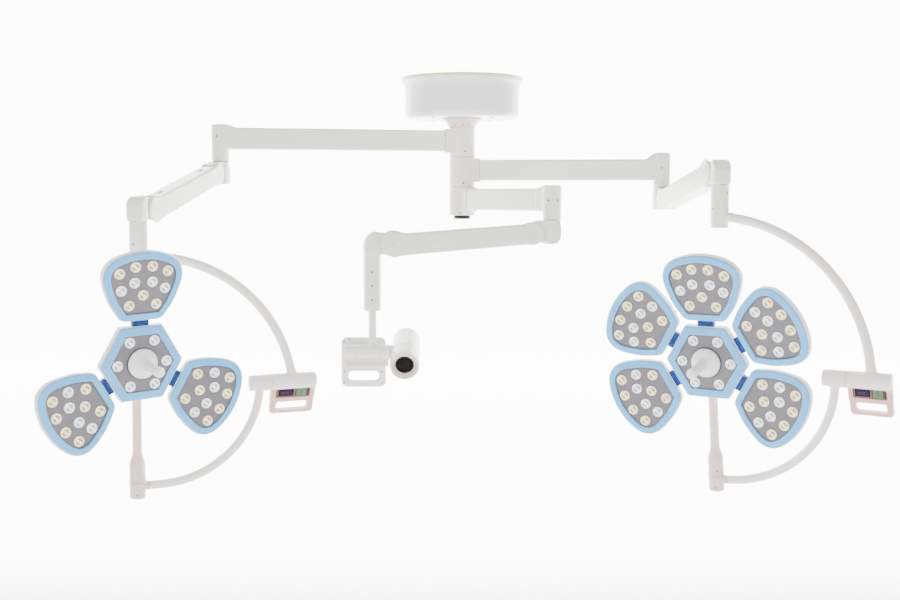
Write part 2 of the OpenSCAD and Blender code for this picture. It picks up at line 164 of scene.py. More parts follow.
def finish_material(name, rgb, rough=0.4, rough_var=0.06, tone=0.03, scale=40.0, bump=0.02, bump_scale=900.0,
                    metallic=0.0, coat=0.0, coat_rough=0.1, ior=1.46, glow=0.0, glow_rgb=None, stretch=None,
                    speck=0.0, sss=0.0, alpha_mix=None, second=None, spec=None, gradient=None):
    """One surface finish: large soft tone changes, fine grain in the roughness and a micro bump."""
    m = bpy.data.materials.new(name)
    m.use_nodes = True
    nt = m.node_tree
    n, l = nt.nodes, nt.links
    b = n["Principled BSDF"]
    tc = n.new("ShaderNodeTexCoord")
    mp = n.new("ShaderNodeMapping")
    l.new(tc.outputs["Object"], mp.inputs["Vector"])
    if stretch:
        mp.inputs["Scale"].default_value = stretch
    big = n.new("ShaderNodeTexNoise")
    big.inputs["Scale"].default_value = scale
    big.inputs["Detail"].default_value = 4
    l.new(mp.outputs["Vector"], big.inputs["Vector"])
    fine = n.new("ShaderNodeTexNoise")
    fine.inputs["Scale"].default_value = bump_scale
    fine.inputs["Detail"].default_value = 3
    l.new(mp.outputs["Vector"], fine.inputs["Vector"])
    base = lin(rgb)
    lo = tuple(max(0.0, x * (1 - tone)) for x in base)
    hi = tuple(min(1.0, x * (1 + tone)) for x in base)
    if second is not None:
        lo = lin(second)
    ramp = n.new("ShaderNodeValToRGB")
    ramp.color_ramp.elements[0].position = 0.3
    ramp.color_ramp.elements[1].position = 0.7
    ramp.color_ramp.elements[0].color = (*lo, 1)
    ramp.color_ramp.elements[1].color = (*hi, 1)
    l.new(big.outputs["Fac"], ramp.inputs["Fac"])
    col = ramp.outputs["Color"]
    if speck > 0:
        vor = n.new("ShaderNodeTexVoronoi")
        vor.inputs["Scale"].default_value = bump_scale * 0.6
        l.new(mp.outputs["Vector"], vor.inputs["Vector"])
        mix = n.new("ShaderNodeMix")
        mix.data_type = "RGBA"
        mr = n.new("ShaderNodeMapRange")
        mr.inputs["From Min"].default_value = 0.0
        mr.inputs["From Max"].default_value = 0.35
        mr.inputs["To Min"].default_value = speck
        mr.inputs["To Max"].default_value = 0.0
        l.new(vor.outputs["Distance"], mr.inputs["Value"])
        l.new(mr.outputs["Result"], mix.inputs[0])
        l.new(col, mix.inputs[6])
        mix.inputs[7].default_value = (min(1, base[0] * 1.7), min(1, base[1] * 1.7), min(1, base[2] * 1.7), 1)
        col = mix.outputs[2]
    if gradient is not None:
        sep = n.new("ShaderNodeSeparateXYZ")
        l.new(tc.outputs["Object"], sep.inputs["Vector"])
        g = n.new("ShaderNodeMapRange")
        g.inputs["From Min"].default_value = gradient[0]
        g.inputs["From Max"].default_value = gradient[1]
        l.new(sep.outputs["Z"], g.inputs["Value"])
        mg = n.new("ShaderNodeMix")
        mg.data_type = "RGBA"
        l.new(g.outputs["Result"], mg.inputs[0])
        l.new(col, mg.inputs[6])
        mg.inputs[7].default_value = (*lin(gradient[2]), 1)
        col = mg.outputs[2]
    l.new(col, b.inputs["Base Color"])
    rr = n.new("ShaderNodeMapRange")
    rr.inputs["To Min"].default_value = max(0.02, rough - rough_var)
    rr.inputs["To Max"].default_value = min(1.0, rough + rough_var)
    l.new(big.outputs["Fac"], rr.inputs["Value"])
    l.new(rr.outputs["Result"], b.inputs["Roughness"])
    bp = n.new("ShaderNodeBump")
    bp.inputs["Strength"].default_value = bump
    bp.inputs["Distance"].default_value = 0.0008
    l.new(fine.outputs["Fac"], bp.inputs["Height"])
    l.new(bp.outputs["Normal"], b.inputs["Normal"])
    b.inputs["Metallic"].default_value = metallic
    b.inputs["IOR"].default_value = ior
    b.inputs["Coat Weight"].default_value = coat
    b.inputs["Coat Roughness"].default_value = coat_rough
    if spec is not None:
        b.inputs["Specular IOR Level"].default_value = spec
    if sss > 0:
        b.inputs["Subsurface Weight"].default_value = sss
        b.inputs["Subsurface Scale"].default_value = 0.006
    if glow > 0:
        l.new(col, b.inputs["Emission Color"])
        b.inputs["Emission Strength"].default_value = glow
    return m


M = {}
M["arm"] = finish_material("arm_paint", (233, 233, 222), 0.36, 0.05, 0.012, 9, 0.03, 1400, coat=0.25, coat_rough=0.18)
M["bow"] = finish_material("bow_paint", (236, 228, 221), 0.34, 0.05, 0.015, 12, 0.03, 1400, coat=0.25, coat_rough=0.18)
M["post"] = finish_material("post_paint", (226, 204, 194), 0.38, 0.05, 0.02, 12, 0.03, 1400, coat=0.2, coat_rough=0.2)
M["hubpaint"] = finish_material("hub_paint", (236, 228, 219), 0.33, 0.05, 0.012, 14, 0.03, 1400, coat=0.3, coat_rough=0.15)
M["canopy"] = finish_material("canopy_enamel", (234, 238, 236), 0.32, 0.05, 0.01, 6, 0.015, 700, coat=0.18, coat_rough=0.15)
M["rim"] = finish_material("canopy_rim_enamel", (240, 206, 130), 0.35, 0.05, 0.03, 30, 0.02, 900, coat=0.2, second=(234, 186, 92))
M["cone"] = finish_material("cone_paint", (232, 214, 202), 0.4, 0.05, 0.02, 20, 0.03, 1400, coat=0.2)
M["shell"] = finish_material("shell_plastic", (240, 237, 235), 0.38, 0.05, 0.012, 18, 0.05, 1800, coat=0.1, sss=0.08)
M["bezel"] = finish_material("bezel_blue_rubber", (92, 172, 234), 0.42, 0.06, 0.04, 26, 0.05, 1600, coat=0.05, second=(106, 184, 238))
M["grey"] = finish_material("panel_grey", (106, 103, 109), 0.4, 0.05, 0.04, 22, 0.03, 2200, coat=0.25, coat_rough=0.12, speck=0.08)
# dark rings painted as the shadow where the bezel, handle and lens rims stand proud of the grey panel
M["shadow"] = finish_material("painted_shadow_line", (60, 66, 76), 0.6, 0.05, 0.05, 60, 0.03, 1200)
M["bellows"] = finish_material("bellows_rubber", (20, 66, 142), 0.42, 0.08, 0.12, 60, 0.10, 1500, second=(12, 46, 110))
M["handle"] = finish_material("handle_plastic", (242, 241, 240), 0.3, 0.05, 0.01, 24, 0.03, 1600, coat=0.25, coat_rough=0.12, sss=0.12)
M["steel"] = finish_material("brushed_steel", (176, 178, 180), 0.32, 0.1, 0.06, 60, 0.05, 500, metallic=0.95, stretch=(1, 1, 22))
M["screw"] = finish_material("black_oxide_screw", (16, 17, 16), 0.45, 0.08, 0.1, 400, 0.08, 2500, metallic=0.2)
M["black"] = finish_material("cap_black", (5, 5, 6), 0.5, 0.06, 0.2, 90, 0.06, 1500)
M["seal"] = finish_material("seal_dark", (48, 44, 40), 0.6, 0.06, 0.08, 90, 0.05, 1500)
M["mark"] = finish_material("pin_mark", (204, 202, 196), 0.45, 0.05, 0.03, 90, 0.04, 1500)
M["panelw"] = finish_material("panel_housing_plastic", (240, 236, 233), 0.36, 0.05, 0.012, 18, 0.05, 1800, coat=0.12)
# pinkish colour for the housing's front faces: painted warm bounce light, the housing itself is one white plastic
M["panel_bounce_tint"] = finish_material("panel_front_painted_bounce_tint", (220, 176, 160), 0.4, 0.05, 0.015, 18, 0.05, 1800)
M["overlay"] = finish_material("overlay_film", (116, 90, 84), 0.5, 0.06, 0.05, 60, 0.04, 1800, coat=0.0, spec=0.25)
M["overlay_dk"] = finish_material("overlay_border", (74, 44, 40), 0.5, 0.06, 0.05, 60, 0.04, 1800, spec=0.25)
M["lcd"] = finish_material("lcd_glass", (16, 8, 26), 0.4, 0.04, 0.25, 120, 0.01, 800, coat=0.0, spec=0.15)
M["lcd2"] = finish_material("lcd_active", (34, 18, 56), 0.4, 0.04, 0.2, 160, 0.01, 800, coat=0.0, spec=0.15)
M["key"] = finish_material("key_green", (58, 104, 72), 0.4, 0.06, 0.06, 120, 0.05, 1600)
M["key2"] = finish_material("key_green_pale", (104, 146, 112), 0.42, 0.06, 0.06, 120, 0.05, 1600)
M["camw"] = finish_material("camera_plastic", (241, 240, 236), 0.34, 0.05, 0.012, 16, 0.04, 1700, coat=0.2)
# beige: painted shade on the camera's front ring and the bracket underside; the knob takes the same beige
M["cam_knob_beige_and_shade"] = finish_material("camera_knob_beige_and_painted_shade", (228, 212, 200), 0.4, 0.05, 0.02, 20, 0.04, 1700)
M["glass"] = finish_material("front_glass_black", (3, 2, 3), 0.3, 0.04, 0.1, 120, 0.01, 600, coat=0.0, spec=0.12)
M["lens_ring_w"] = finish_material("lens_rim_warm", (250, 238, 200), 0.25, 0.05, 0.03, 300, 0.03, 2500, coat=0.3, glow=0.62)
M["lens_ring_c"] = finish_material("lens_rim_cool", (246, 249, 250), 0.25, 0.05, 0.02, 300, 0.03, 2500, coat=0.3, glow=0.62)
M["lens_dish_w"] = finish_material("lens_dish_warm", (248, 232, 182), 0.3, 0.06, 0.05, 400, 0.08, 2500, coat=0.3, glow=0.5)
M["lens_dish_c"] = finish_material("lens_dish_cool", (236, 240, 243), 0.3, 0.06, 0.04, 400, 0.08, 2500, coat=0.3, glow=0.5)
M["bar_w"] = finish_material("lens_bar_warm", (255, 248, 222), 0.22, 0.05, 0.02, 400, 0.03, 2500, coat=0.3, glow=0.9)
M["bar_c"] = finish_material("lens_bar_cool", (252, 254, 255), 0.22, 0.05, 0.02, 400, 0.03, 2500, coat=0.3, glow=0.9)
M["chip_w"] = finish_material("lens_chip_warm", (124, 106, 76), 0.35, 0.08, 0.12, 600, 0.06, 2500, coat=0.3, second=(92, 74, 48))
M["chip_c"] = finish_material("lens_chip_cool", (132, 138, 144), 0.35, 0.08, 0.12, 600, 0.06, 2500, coat=0.3, second=(104, 110, 116))


# ------------------------------------------------------------------ mesh kit
class Geo:
    """Collects closed shells in millimetres and makes one object from them."""

    def __init__(self):
        self.v, self.f, self.m, self.n = [], [], [], 0

    def put(self, F, V, faces, mat=0):
        V = apply(F, V)
        self.v.append(V)
        k = self.n
        self.f.extend([tuple(int(a) + k for a in f) for f in faces])
        if np.isscalar(mat):
            self.m.extend([mat] * len(faces))
        else:
            self.m.extend(list(mat))
        self.n += len(V)
        return self

    def make(self, name, body, mats, replaces=(), sharp=38, bevel=None):
        me = bpy.data.meshes.new(name)
        V = np.concatenate(self.v) * MM
        me.from_pydata([tuple(p) for p in V], [], self.f)
        me.polygons.foreach_set("material_index", np.array(self.m, np.int32))
        bm = bmesh.new()
        bm.from_mesh(me)
        bmesh.ops.remove_doubles(bm, verts=bm.verts, dist=1e-6)
        bmesh.ops.dissolve_degenerate(bm, edges=bm.edges, dist=1e-7)
        bmesh.ops.recalc_face_normals(bm, faces=bm.faces)
        bm.to_mesh(me)
        bm.free()
        me.polygons.foreach_set("use_smooth", np.ones(len(me.polygons), bool))
        me.set_sharp_from_angle(angle=math.radians(sharp))
        for x in mats:
            me.materials.append(M[x])
        o = bpy.data.objects.new(name, me)
        bpy.context.scene.collection.objects.link(o)
        if bevel:
            b = o.modifiers.new("edge", "BEVEL")
            b.width = bevel * MM
            b.segments = 2
            b.limit_method = "ANGLE"
            b.angle_limit = math.radians(40)
            b.harden_normals = True
        if isinstance(body, str):
            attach(o, body)
        if replaces:
            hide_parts(*([replaces] if isinstance(replaces, str) else replaces))
        return o


def loft(loops, closed=False, cap0=True, cap1=True):
    """Quads between loops of equal length; ends filled with a fan of triangles round a middle point."""
    n = len(loops[0])
    V = [np.asarray(p, float) for p in loops]
    F = []
    cnt = len(loops)
    for a in range(cnt if closed else cnt - 1):
        b = (a + 1) % cnt
        for k in range(n):
            j = (k + 1) % n
            F.append((a * n + k, a * n + j, b * n + j, b * n + k))
    V = np.concatenate(V)
    if not closed:
        for flag, base in ((cap0, 0), (cap1, (cnt - 1) * n)):
            if flag:
                c = V[base:base + n].mean(0)
                V = np.vstack([V, c])
                i = len(V) - 1
                for k in range(n):
                    F.append((base + k, base + (k + 1) % n, i))
    return V, F


def rounded(P, seg=5):
    """[(r, z, fillet)] to a polyline whose corners are arcs."""
    out = []
    for i, p in enumerate(P):
        f = p[2] if len(p) > 2 else 0
        if f <= 0 or i == 0 or i == len(P) - 1:
            out.append((p[0], p[1]))
            continue
        a, b, c = np.array(P[i - 1][:2], float), np.array(p[:2], float), np.array(P[i + 1][:2], float)
        u, w = a - b, c - b
        lu, lw = np.linalg.norm(u), np.linalg.norm(w)
        u, w = u / lu, w / lw
        cosang = float(np.clip(u @ w, -1, 1))
        half = math.acos(cosang) / 2
        if half > math.radians(89):
            out.append((p[0], p[1]))
            continue
        t = min(f / math.tan(half), lu * 0.49, lw * 0.49)
        r = t * math.tan(half)
        mid = (u + w) / np.linalg.norm(u + w)
        ctr = b + mid * (r / math.sin(half))
        s, e = b + u * t, b + w * t
        a0 = math.atan2(*(s - ctr)[::-1])
        a1 = math.atan2(*(e - ctr)[::-1])
        da = (a1 - a0 + math.pi) % (2 * math.pi) - math.pi
        for k in range(seg + 1):
            q = a0 + da * k / seg
            out.append((ctr[0] + r * math.cos(q), ctr[1] + r * math.sin(q)))
    return out


def lathe(P, n=64, seg=5):
    """Turned solid about Z from [(r, z, fillet)]; starts and ends on the axis, or is a closed ring."""
    pts = rounded(P, seg)
    ring = P[0][0] > 0 and P[-1][0] > 0
    th = np.linspace(0, 2 * math.pi, n, endpoint=False)
    loops = []
    for r, z in pts:
        r = max(r, 1e-4)
        loops.append(np.stack([r * np.cos(th), r * np.sin(th), np.full(n, z)], 1))
    return loft(loops, closed=ring, cap0=False, cap1=False) if ring else loft(loops[1:-1] if len(loops) > 3 else loops)


def lathe_solid(P, n=64, seg=5):
    """As lathe, for a profile whose first and last points are on the axis."""
    pts = rounded(P, seg)
    th = np.linspace(0, 2 * math.pi, n, endpoint=False)
    loops = []
    for r, z in pts[1:-1]:
        loops.append(np.stack([r * np.cos(th), r * np.sin(th), np.full(n, z)], 1))
    V, F = loft(loops, cap0=False, cap1=False)
    m = len(loops)
    V = np.vstack([V, [0, 0, pts[0][1]], [0, 0, pts[-1][1]]])
    a, b = len(V) - 2, len(V) - 1
    for k in range(n):
        F.append((k, (k + 1) % n, a))
        F.append(((m - 1) * n + k, (m - 1) * n + (k + 1) % n, b))
    return V, F


def tube(path, r, n=28, caps=True):
    """A round tube swept along a path; r may be a list."""
    P = np.asarray(path, float)
    m = len(P)
    R = np.full(m, r, float) if np.isscalar(r) else np.asarray(r, float)
    T = np.gradient(P, axis=0)
    T /= np.linalg.norm(T, axis=1)[:, None]
    up = np.array([0, 1.0, 0]) if abs(T[0][1]) < 0.9 else np.array([1.0, 0, 0])
    N = np.cross(T[0], up)
    N /= np.linalg.norm(N)
    th = np.linspace(0, 2 * math.pi, n, endpoint=False)
    loops = []
    for i in range(m):
        N = N - (N @ T[i]) * T[i]
        N /= np.linalg.norm(N)
        B = np.cross(T[i], N)
        loops.append(P[i] + R[i] * (np.cos(th)[:, None] * N + np.sin(th)[:, None] * B))
    return loft(loops, cap0=caps, cap1=caps)


def outline(P, r, step=8.0):
    """Polygon P grown by r: arcs at the corners, always the same number of points for the same P."""
    P = np.asarray(P, float)
    n = len(P)
    out = []
    for i in range(n):
        a, p, b = P[i - 1], P[i], P[(i + 1) % n]
        a0 = math.degrees(math.atan2(-(p[0] - a[0]), p[1] - a[1]))
        a1 = math.degrees(math.atan2(-(b[0] - p[0]), b[1] - p[1]))
        da = (a1 - a0 + 180) % 360 - 180
        if da <= 1.0:
            am = math.radians(a0 + da / 2)
            out.append(p + (r / max(0.5, math.cos(math.radians(da / 2)))) * np.array([math.cos(am), math.sin(am)]))
            continue
        k = max(1, int(math.ceil(da / step)))
        for j in range(k + 1):
            q = math.radians(a0 + da * j / k)
            out.append(p + r * np.array([math.cos(q), math.sin(q)]))
    return np.array(out)


def at_z(P2, z):
    return np.column_stack([P2, np.full(len(P2), z)])


def rect(w, h, cx=0, cy=0):
    return [(cx - w / 2, cy - h / 2), (cx + w / 2, cy - h / 2), (cx + w / 2, cy + h / 2), (cx - w / 2, cy + h / 2)]


def rplate(w, h, r, z0, z1, edge, cx=0, cy=0, seg=4, step=12):
    """Rounded rectangle plate with rounded upper and lower edges."""
    P = rect(w - 2 * r, h - 2 * r, cx, cy)
    loops = []
    for k in range(seg + 1):
        q = math.pi / 2 * k / seg
        loops.append(at_z(outline(P, r - edge + edge * math.sin(q), step), z0 + edge - edge * math.cos(q)))
    for k in range(seg + 1):
        q = math.pi / 2 * k / seg
        loops.append(at_z(outline(P, r - edge + edge * math.cos(q), step), z1 - edge + edge * math.sin(q)))
    return loft(loops)


# ------------------------------------------------------------------ blended castings
def smin(a, b, k):
    if k <= 0:
        return np.minimum(a, b)
    h = np.clip(0.5 + 0.5 * (b - a) / k, 0, 1)
    return b * (1 - h) + a * h - k * h * (1 - h)


def smax(a, b, k):
    return -smin(-a, -b, k)


def s_cyl(P, r, lo, hi, rnd=2.0, ax=2, c=(0, 0)):
    u, w = [i for i in range(3) if i != ax]
    q = np.hypot(P[:, u] - c[0], P[:, w] - c[1]) - (r - rnd)
    z = np.abs(P[:, ax] - (lo + hi) / 2) - ((hi - lo) / 2 - rnd)
    return np.minimum(np.maximum(q, z), 0) + np.hypot(np.maximum(q, 0), np.maximum(z, 0)) - rnd


def s_box(P, lo, hi, rnd=2.0):
    lo, hi = np.array(lo, float), np.array(hi, float)
    q = np.abs(P - (lo + hi) / 2) - ((hi - lo) / 2 - rnd)
    return np.linalg.norm(np.maximum(q, 0), axis=1) + np.minimum(q.max(1), 0) - rnd


def s_rect2(x, y, lo, hi, rnd):
    q = np.abs(x - (lo[0] + hi[0]) / 2) - ((hi[0] - lo[0]) / 2 - rnd)
    w = np.abs(y - (lo[1] + hi[1]) / 2) - ((hi[1] - lo[1]) / 2 - rnd)
    return np.hypot(np.maximum(q, 0), np.maximum(w, 0)) + np.minimum(np.maximum(q, w), 0) - rnd


def s_poly2(x, y, P):
    """Signed distance to a polygon, negative inside."""
    P = np.asarray(P, float)
    d = np.full(x.shape, 1e18)
    s = np.ones(x.shape)
    n = len(P)
    for i in range(n):
        a, b = P[i], P[i - 1]
        e = b - a
        wx, wy = x - a[0], y - a[1]
        t = np.clip((wx * e[0] + wy * e[1]) / (e @ e), 0, 1)
        d = np.minimum(d, (wx - e[0] * t) ** 2 + (wy - e[1] * t) ** 2)
        c1, c2, c3 = y >= a[1], y < b[1], e[0] * wy > e[1] * wx
        flip = (c1 & c2 & c3) | (~c1 & ~c2 & ~c3)
        s = np.where(flip, -s, s)
    return s * np.sqrt(d)


def s_extrude(d, t, lo, hi, rnd=2.0):
    """2D distance d extruded along t between lo and hi with rounded edges."""
    a = d + rnd
    b = np.abs(t - (lo + hi) / 2) - ((hi - lo) / 2 - rnd)
    return np.minimum(np.maximum(a, b), 0) + np.hypot(np.maximum(a, 0), np.maximum(b, 0)) - rnd


def axis_grid(lo, hi, h, coarse=None, big=14.0):
    """Grid coordinates, with wide steps inside the coarse range."""
    if coarse is None:
        return np.arange(lo - 2 * h, hi + 2.5 * h, h)
    a = np.arange(lo - 2 * h, coarse[0], h)
    b = np.linspace(coarse[0], coarse[1], max(2, int((coarse[1] - coarse[0]) / big)))
    c = np.arange(coarse[1] + h, hi + 2.5 * h, h)
    return np.concatenate([a, b, c])


def casting(f, xs, ys, zs, relax=2):
    """Surface of f < 0 on a grid as quads, moved onto the exact surface."""
    G = np.stack(np.meshgrid(xs, ys, zs, indexing="ij"), -1)
    shape = G.shape[:3]
    V = f(G.reshape(-1, 3)).reshape(shape)
    ins = V < 0
    nx, ny, nz = shape
    cnt = np.zeros((nx - 1, ny - 1, nz - 1), int)
    for a in (0, 1):
        for b in (0, 1):
            for c in (0, 1):
                cnt += ins[a:nx - 1 + a, b:ny - 1 + b, c:nz - 1 + c]
    mask = (cnt > 0) & (cnt < 8)
    idx = -np.ones(mask.shape, int)
    idx[mask] = np.arange(mask.sum())
    acc = np.zeros(mask.shape + (3,))
    num = np.zeros(mask.shape)
    quads = []
    for ax in range(3):
        sl0 = [slice(None)] * 3
        sl1 = [slice(None)] * 3
        sl0[ax] = slice(0, shape[ax] - 1)
        sl1[ax] = slice(1, shape[ax])
        v0, v1 = V[tuple(sl0)], V[tuple(sl1)]
        cross = (v0 < 0) != (v1 < 0)
        t = np.where(cross, v0 / np.where(cross, v0 - v1, 1), 0)
        p = G[tuple(sl0)] * (1 - t[..., None]) + G[tuple(sl1)] * t[..., None]
        o = [i for i in range(3) if i != ax]
        I = np.argwhere(cross)
        pts = p[cross]
        neg = (v0 < 0)[cross]
        corner = []
        ok = np.ones(len(I), bool)
        for da, db in ((0, 0), (-1, 0), (-1, -1), (0, -1)):
            J = I.copy()
            J[:, o[0]] += da
            J[:, o[1]] += db
            good = np.all((J >= 0) & (J < np.array(mask.shape)), axis=1)
            ok &= good
            Jg = J[good]
            np.add.at(acc, (Jg[:, 0], Jg[:, 1], Jg[:, 2]), pts[good])
            np.add.at(num, (Jg[:, 0], Jg[:, 1], Jg[:, 2]), 1)
            Jc = np.clip(J, 0, np.array(mask.shape) - 1)
            corner.append(idx[Jc[:, 0], Jc[:, 1], Jc[:, 2]])
        Q = np.stack(corner, 1)[ok]
        neg = neg[ok]
        if ax == 1:
            neg = ~neg
        Q = np.where(neg[:, None], Q, Q[:, ::-1])
        quads.append(Q)
    P = acc[mask] / np.maximum(num[mask], 1)[:, None]
    Q = np.concatenate(quads)

    def project(P, rounds):
        e = 0.02
        for _ in range(rounds):
            d = f(P)
            g = np.stack([(f(P + np.eye(3)[i] * e) - f(P - np.eye(3)[i] * e)) / (2 * e) for i in range(3)], 1)
            gg = np.maximum((g * g).sum(1), 0.05)
            P = P - np.clip(d / gg, -3, 3)[:, None] * g
        return P

    P = project(P, 2)
    for _ in range(relax):
        s = np.zeros_like(P)
        c = np.zeros(len(P))
        for a in range(4):
            i, j = Q[:, a], Q[:, (a + 1) % 4]
            np.add.at(s, i, P[j])
            np.add.at(c, i, 1)
            np.add.at(s, j, P[i])
            np.add.at(c, j, 1)
        avg = s / np.maximum(c, 1)[:, None]
        d = avg - P
        far = np.linalg.norm(d, axis=1) > 1.5
        d[far] = 0
        P = project(P + 0.5 * d, 1)
    return P, [tuple(q) for q in Q]


def frame_at(p, n):
    """A frame at point p whose Z is the normal n, in millimetres."""
    n = np.asarray(n, float) / np.linalg.norm(n)
    a = np.array([0, 0, 1.0]) if abs(n[2]) < 0.9 else np.array([1.0, 0, 0])
    x = np.cross(a, n)
    x /= np.linalg.norm(x)
    m = np.eye(4)
    m[:3, 0], m[:3, 1], m[:3, 2], m[:3, 3] = x, np.cross(n, x), n, p
    return m


def screw(g, F, p, n, r=3.0, ring=0, dark=1):
    """A set screw let into a wall: a painted countersink ring, a dark body and its hexagonal socket."""
    r = r * 1.25
    L = F @ frame_at(p, n)
    V, fc = lathe([(r * 0.9, -1.2), (r * 0.9, 0.22), (r * 1.06, 0.42), (r * 1.32, 0.26), (r * 1.42, -1.2)], 24, 2)
    g.put(L, V, fc, ring)
    V, fc = lathe_solid([(0, -1.5), (r * 0.95, -1.5), (r * 0.95, 0.05, 0.1), (r * 0.62, 0.12), (0, 0.12)], 24, 2)
    g.put(L, V, fc, dark)
    P = [(0.42 * r * math.cos(math.radians(60 * k)), 0.42 * r * math.sin(math.radians(60 * k))) for k in range(6)]
    loops = [at_z(outline(P, 0.05 * r), 0.1), at_z(outline(P, 0.08 * r), 0.3), at_z(outline(P, 0.02 * r), 0.34)]
    V, fc = loft(loops)
    g.put(L, V, fc, dark)


def dimple(g, F, p, n, r=4.0, mat=0):
    """End of a pivot pin: a thin ring and a domed middle."""
    L = F @ frame_at(p, n)
    V, fc = lathe([(r * 0.8, -1), (r * 0.8, 0.15), (r * 0.92, 0.35), (r, 0.15), (r, -1)], 28, 2)
    g.put(L, V, fc, mat)
    V, fc = lathe_solid([(0, -1), (r * 0.74, -1), (r * 0.74, 0.1, 0.2), (r * 0.4, 0.32, 1), (0, 0.38)], 28, 2)
    g.put(L, V, fc, mat)


# ------------------------------------------------------------------ ceiling group
g = Geo()
prof = [(40, -149.6), (196, -150.0, 10), (211.5, -141, 26), (211.5, -34, 8), (214.5, -22, 8), (224.2, -17.5, 3), (225.5, -13, 2),
        (225.5, -7.5, 1.0), (224.5, -5.6, 0.6)]
V, F = lathe(prof + [(205, -5.6, 1), (205, -12, 3), (207.5, -138, 12), (194, -146, 6), (40, -146)], 128, 6)
g.put(I4, V, F, 0)
V, F = lathe([(205.5, -6.2), (225.0, -6.2), (226.2, -5.0, 0.8), (226.4, -2.2, 1.0), (224.6, -0.7, 0.8), (206, -0.6)], 128, 3)
g.put(I4, V, F, 1)
g.make("canopy_cover_skin", "root", ["canopy", "rim"], "canopy_cover", 30)

g = Geo()
for k in range(4):
    L = rot("z", 90 * k + 45) @ mov(150, 0, 0)
    V, F = lathe_solid([(0, -150), (5, -150), (5, -151.4, 0.6), (4.2, -152.8, 1.2), (2.2, -153.1), (2.2, -152.2), (0, -152.2)], 32, 3)
    g.put(L, V, F, 0)
    for a in (0, 90):
        V, F = rplate(5.4, 0.9, 0.3, -152.9, -152.0, 0.1)
        g.put(L @ rot("z", a + 20), V, F, 1)
g.make("canopy_screw_heads", "root", ["steel", "screw"], "canopy_screws", 30)

g = Geo()
V, F = lathe([(31, -150.2), (70, -150.2), (72, -152, 1), (72, -155.2, 1), (66, -156.4, 2), (64.5, -158.5, 2), (50.2, -178.5, 3),
              (48.6, -181.8, 1.2), (31, -181.9)], 96, 4)
g.put(I4, V, F, 0)
for az in (-62, -87, 118, 240):
    a = math.radians(az)
    screw(g, I4, (53.4 * math.cos(a), 53.4 * math.sin(a), -174.2), (0.81 * math.cos(a), 0.81 * math.sin(a), -0.58), 2.7, 0, 1)
V, F = lathe([(30.5, -182.4), (45.6, -182.4), (45.6, -181.2), (30.5, -181.2)], 64, 1)
g.put(I4, V, F, 2)
g.make("mount_cone_turned", "root", ["cone", "screw", "seal"], "mount_cone", 30)

g = Geo()
V, F = lathe_solid([(0, -516), (19, -516, 1), (20.5, -521.4, 1), (28, -521.6, 1.2), (31.8, -517.6, 1.2), (31.8, -509.3, 1), (0, -508.9)], 64, 4)
g.put(I4, V, F, 0)
for k in range(3):
    L = rot("z", 120 * k + 15) @ mov(24.4, 0, -521.5) @ rot("x", 180)
    V, F = lathe_solid([(0, -0.4), (2.3, -0.4), (2.3, 0.5, 0.3), (0, 0.7)], 20, 2)
    g.put(L, V, F, 1)
g.make("spindle_cap_turned", "root", ["black", "screw"], "spindle_end_cap", 30)

# the plate above the canopy and the spindle keep their own meshes in the steel finish; a turned disc is laid out but
# not placed, and a thin ring goes round the spindle
g = Geo()
V, F = lathe([(20, 0), (20, -8), (24, -8, 0.5), (186, -8, 0.5), (190, -7, 1), (190, -1, 1), (189, 0, 0.5), (22, 0)], 96, 3)
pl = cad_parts["ceiling_plate"]
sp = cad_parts["center_spindle"]
for o in (pl, sp):
    o.data.materials.clear()
    o.data.materials.append(M["steel"])
g.put(mov(0, 0, 0), *lathe([(31.2, -173), (33.6, -173), (33.6, -176, 0.4), (31.2, -176)], 48, 2), 0)
g.make("spindle_upper_ring", "root", ["steel"], (), 30)

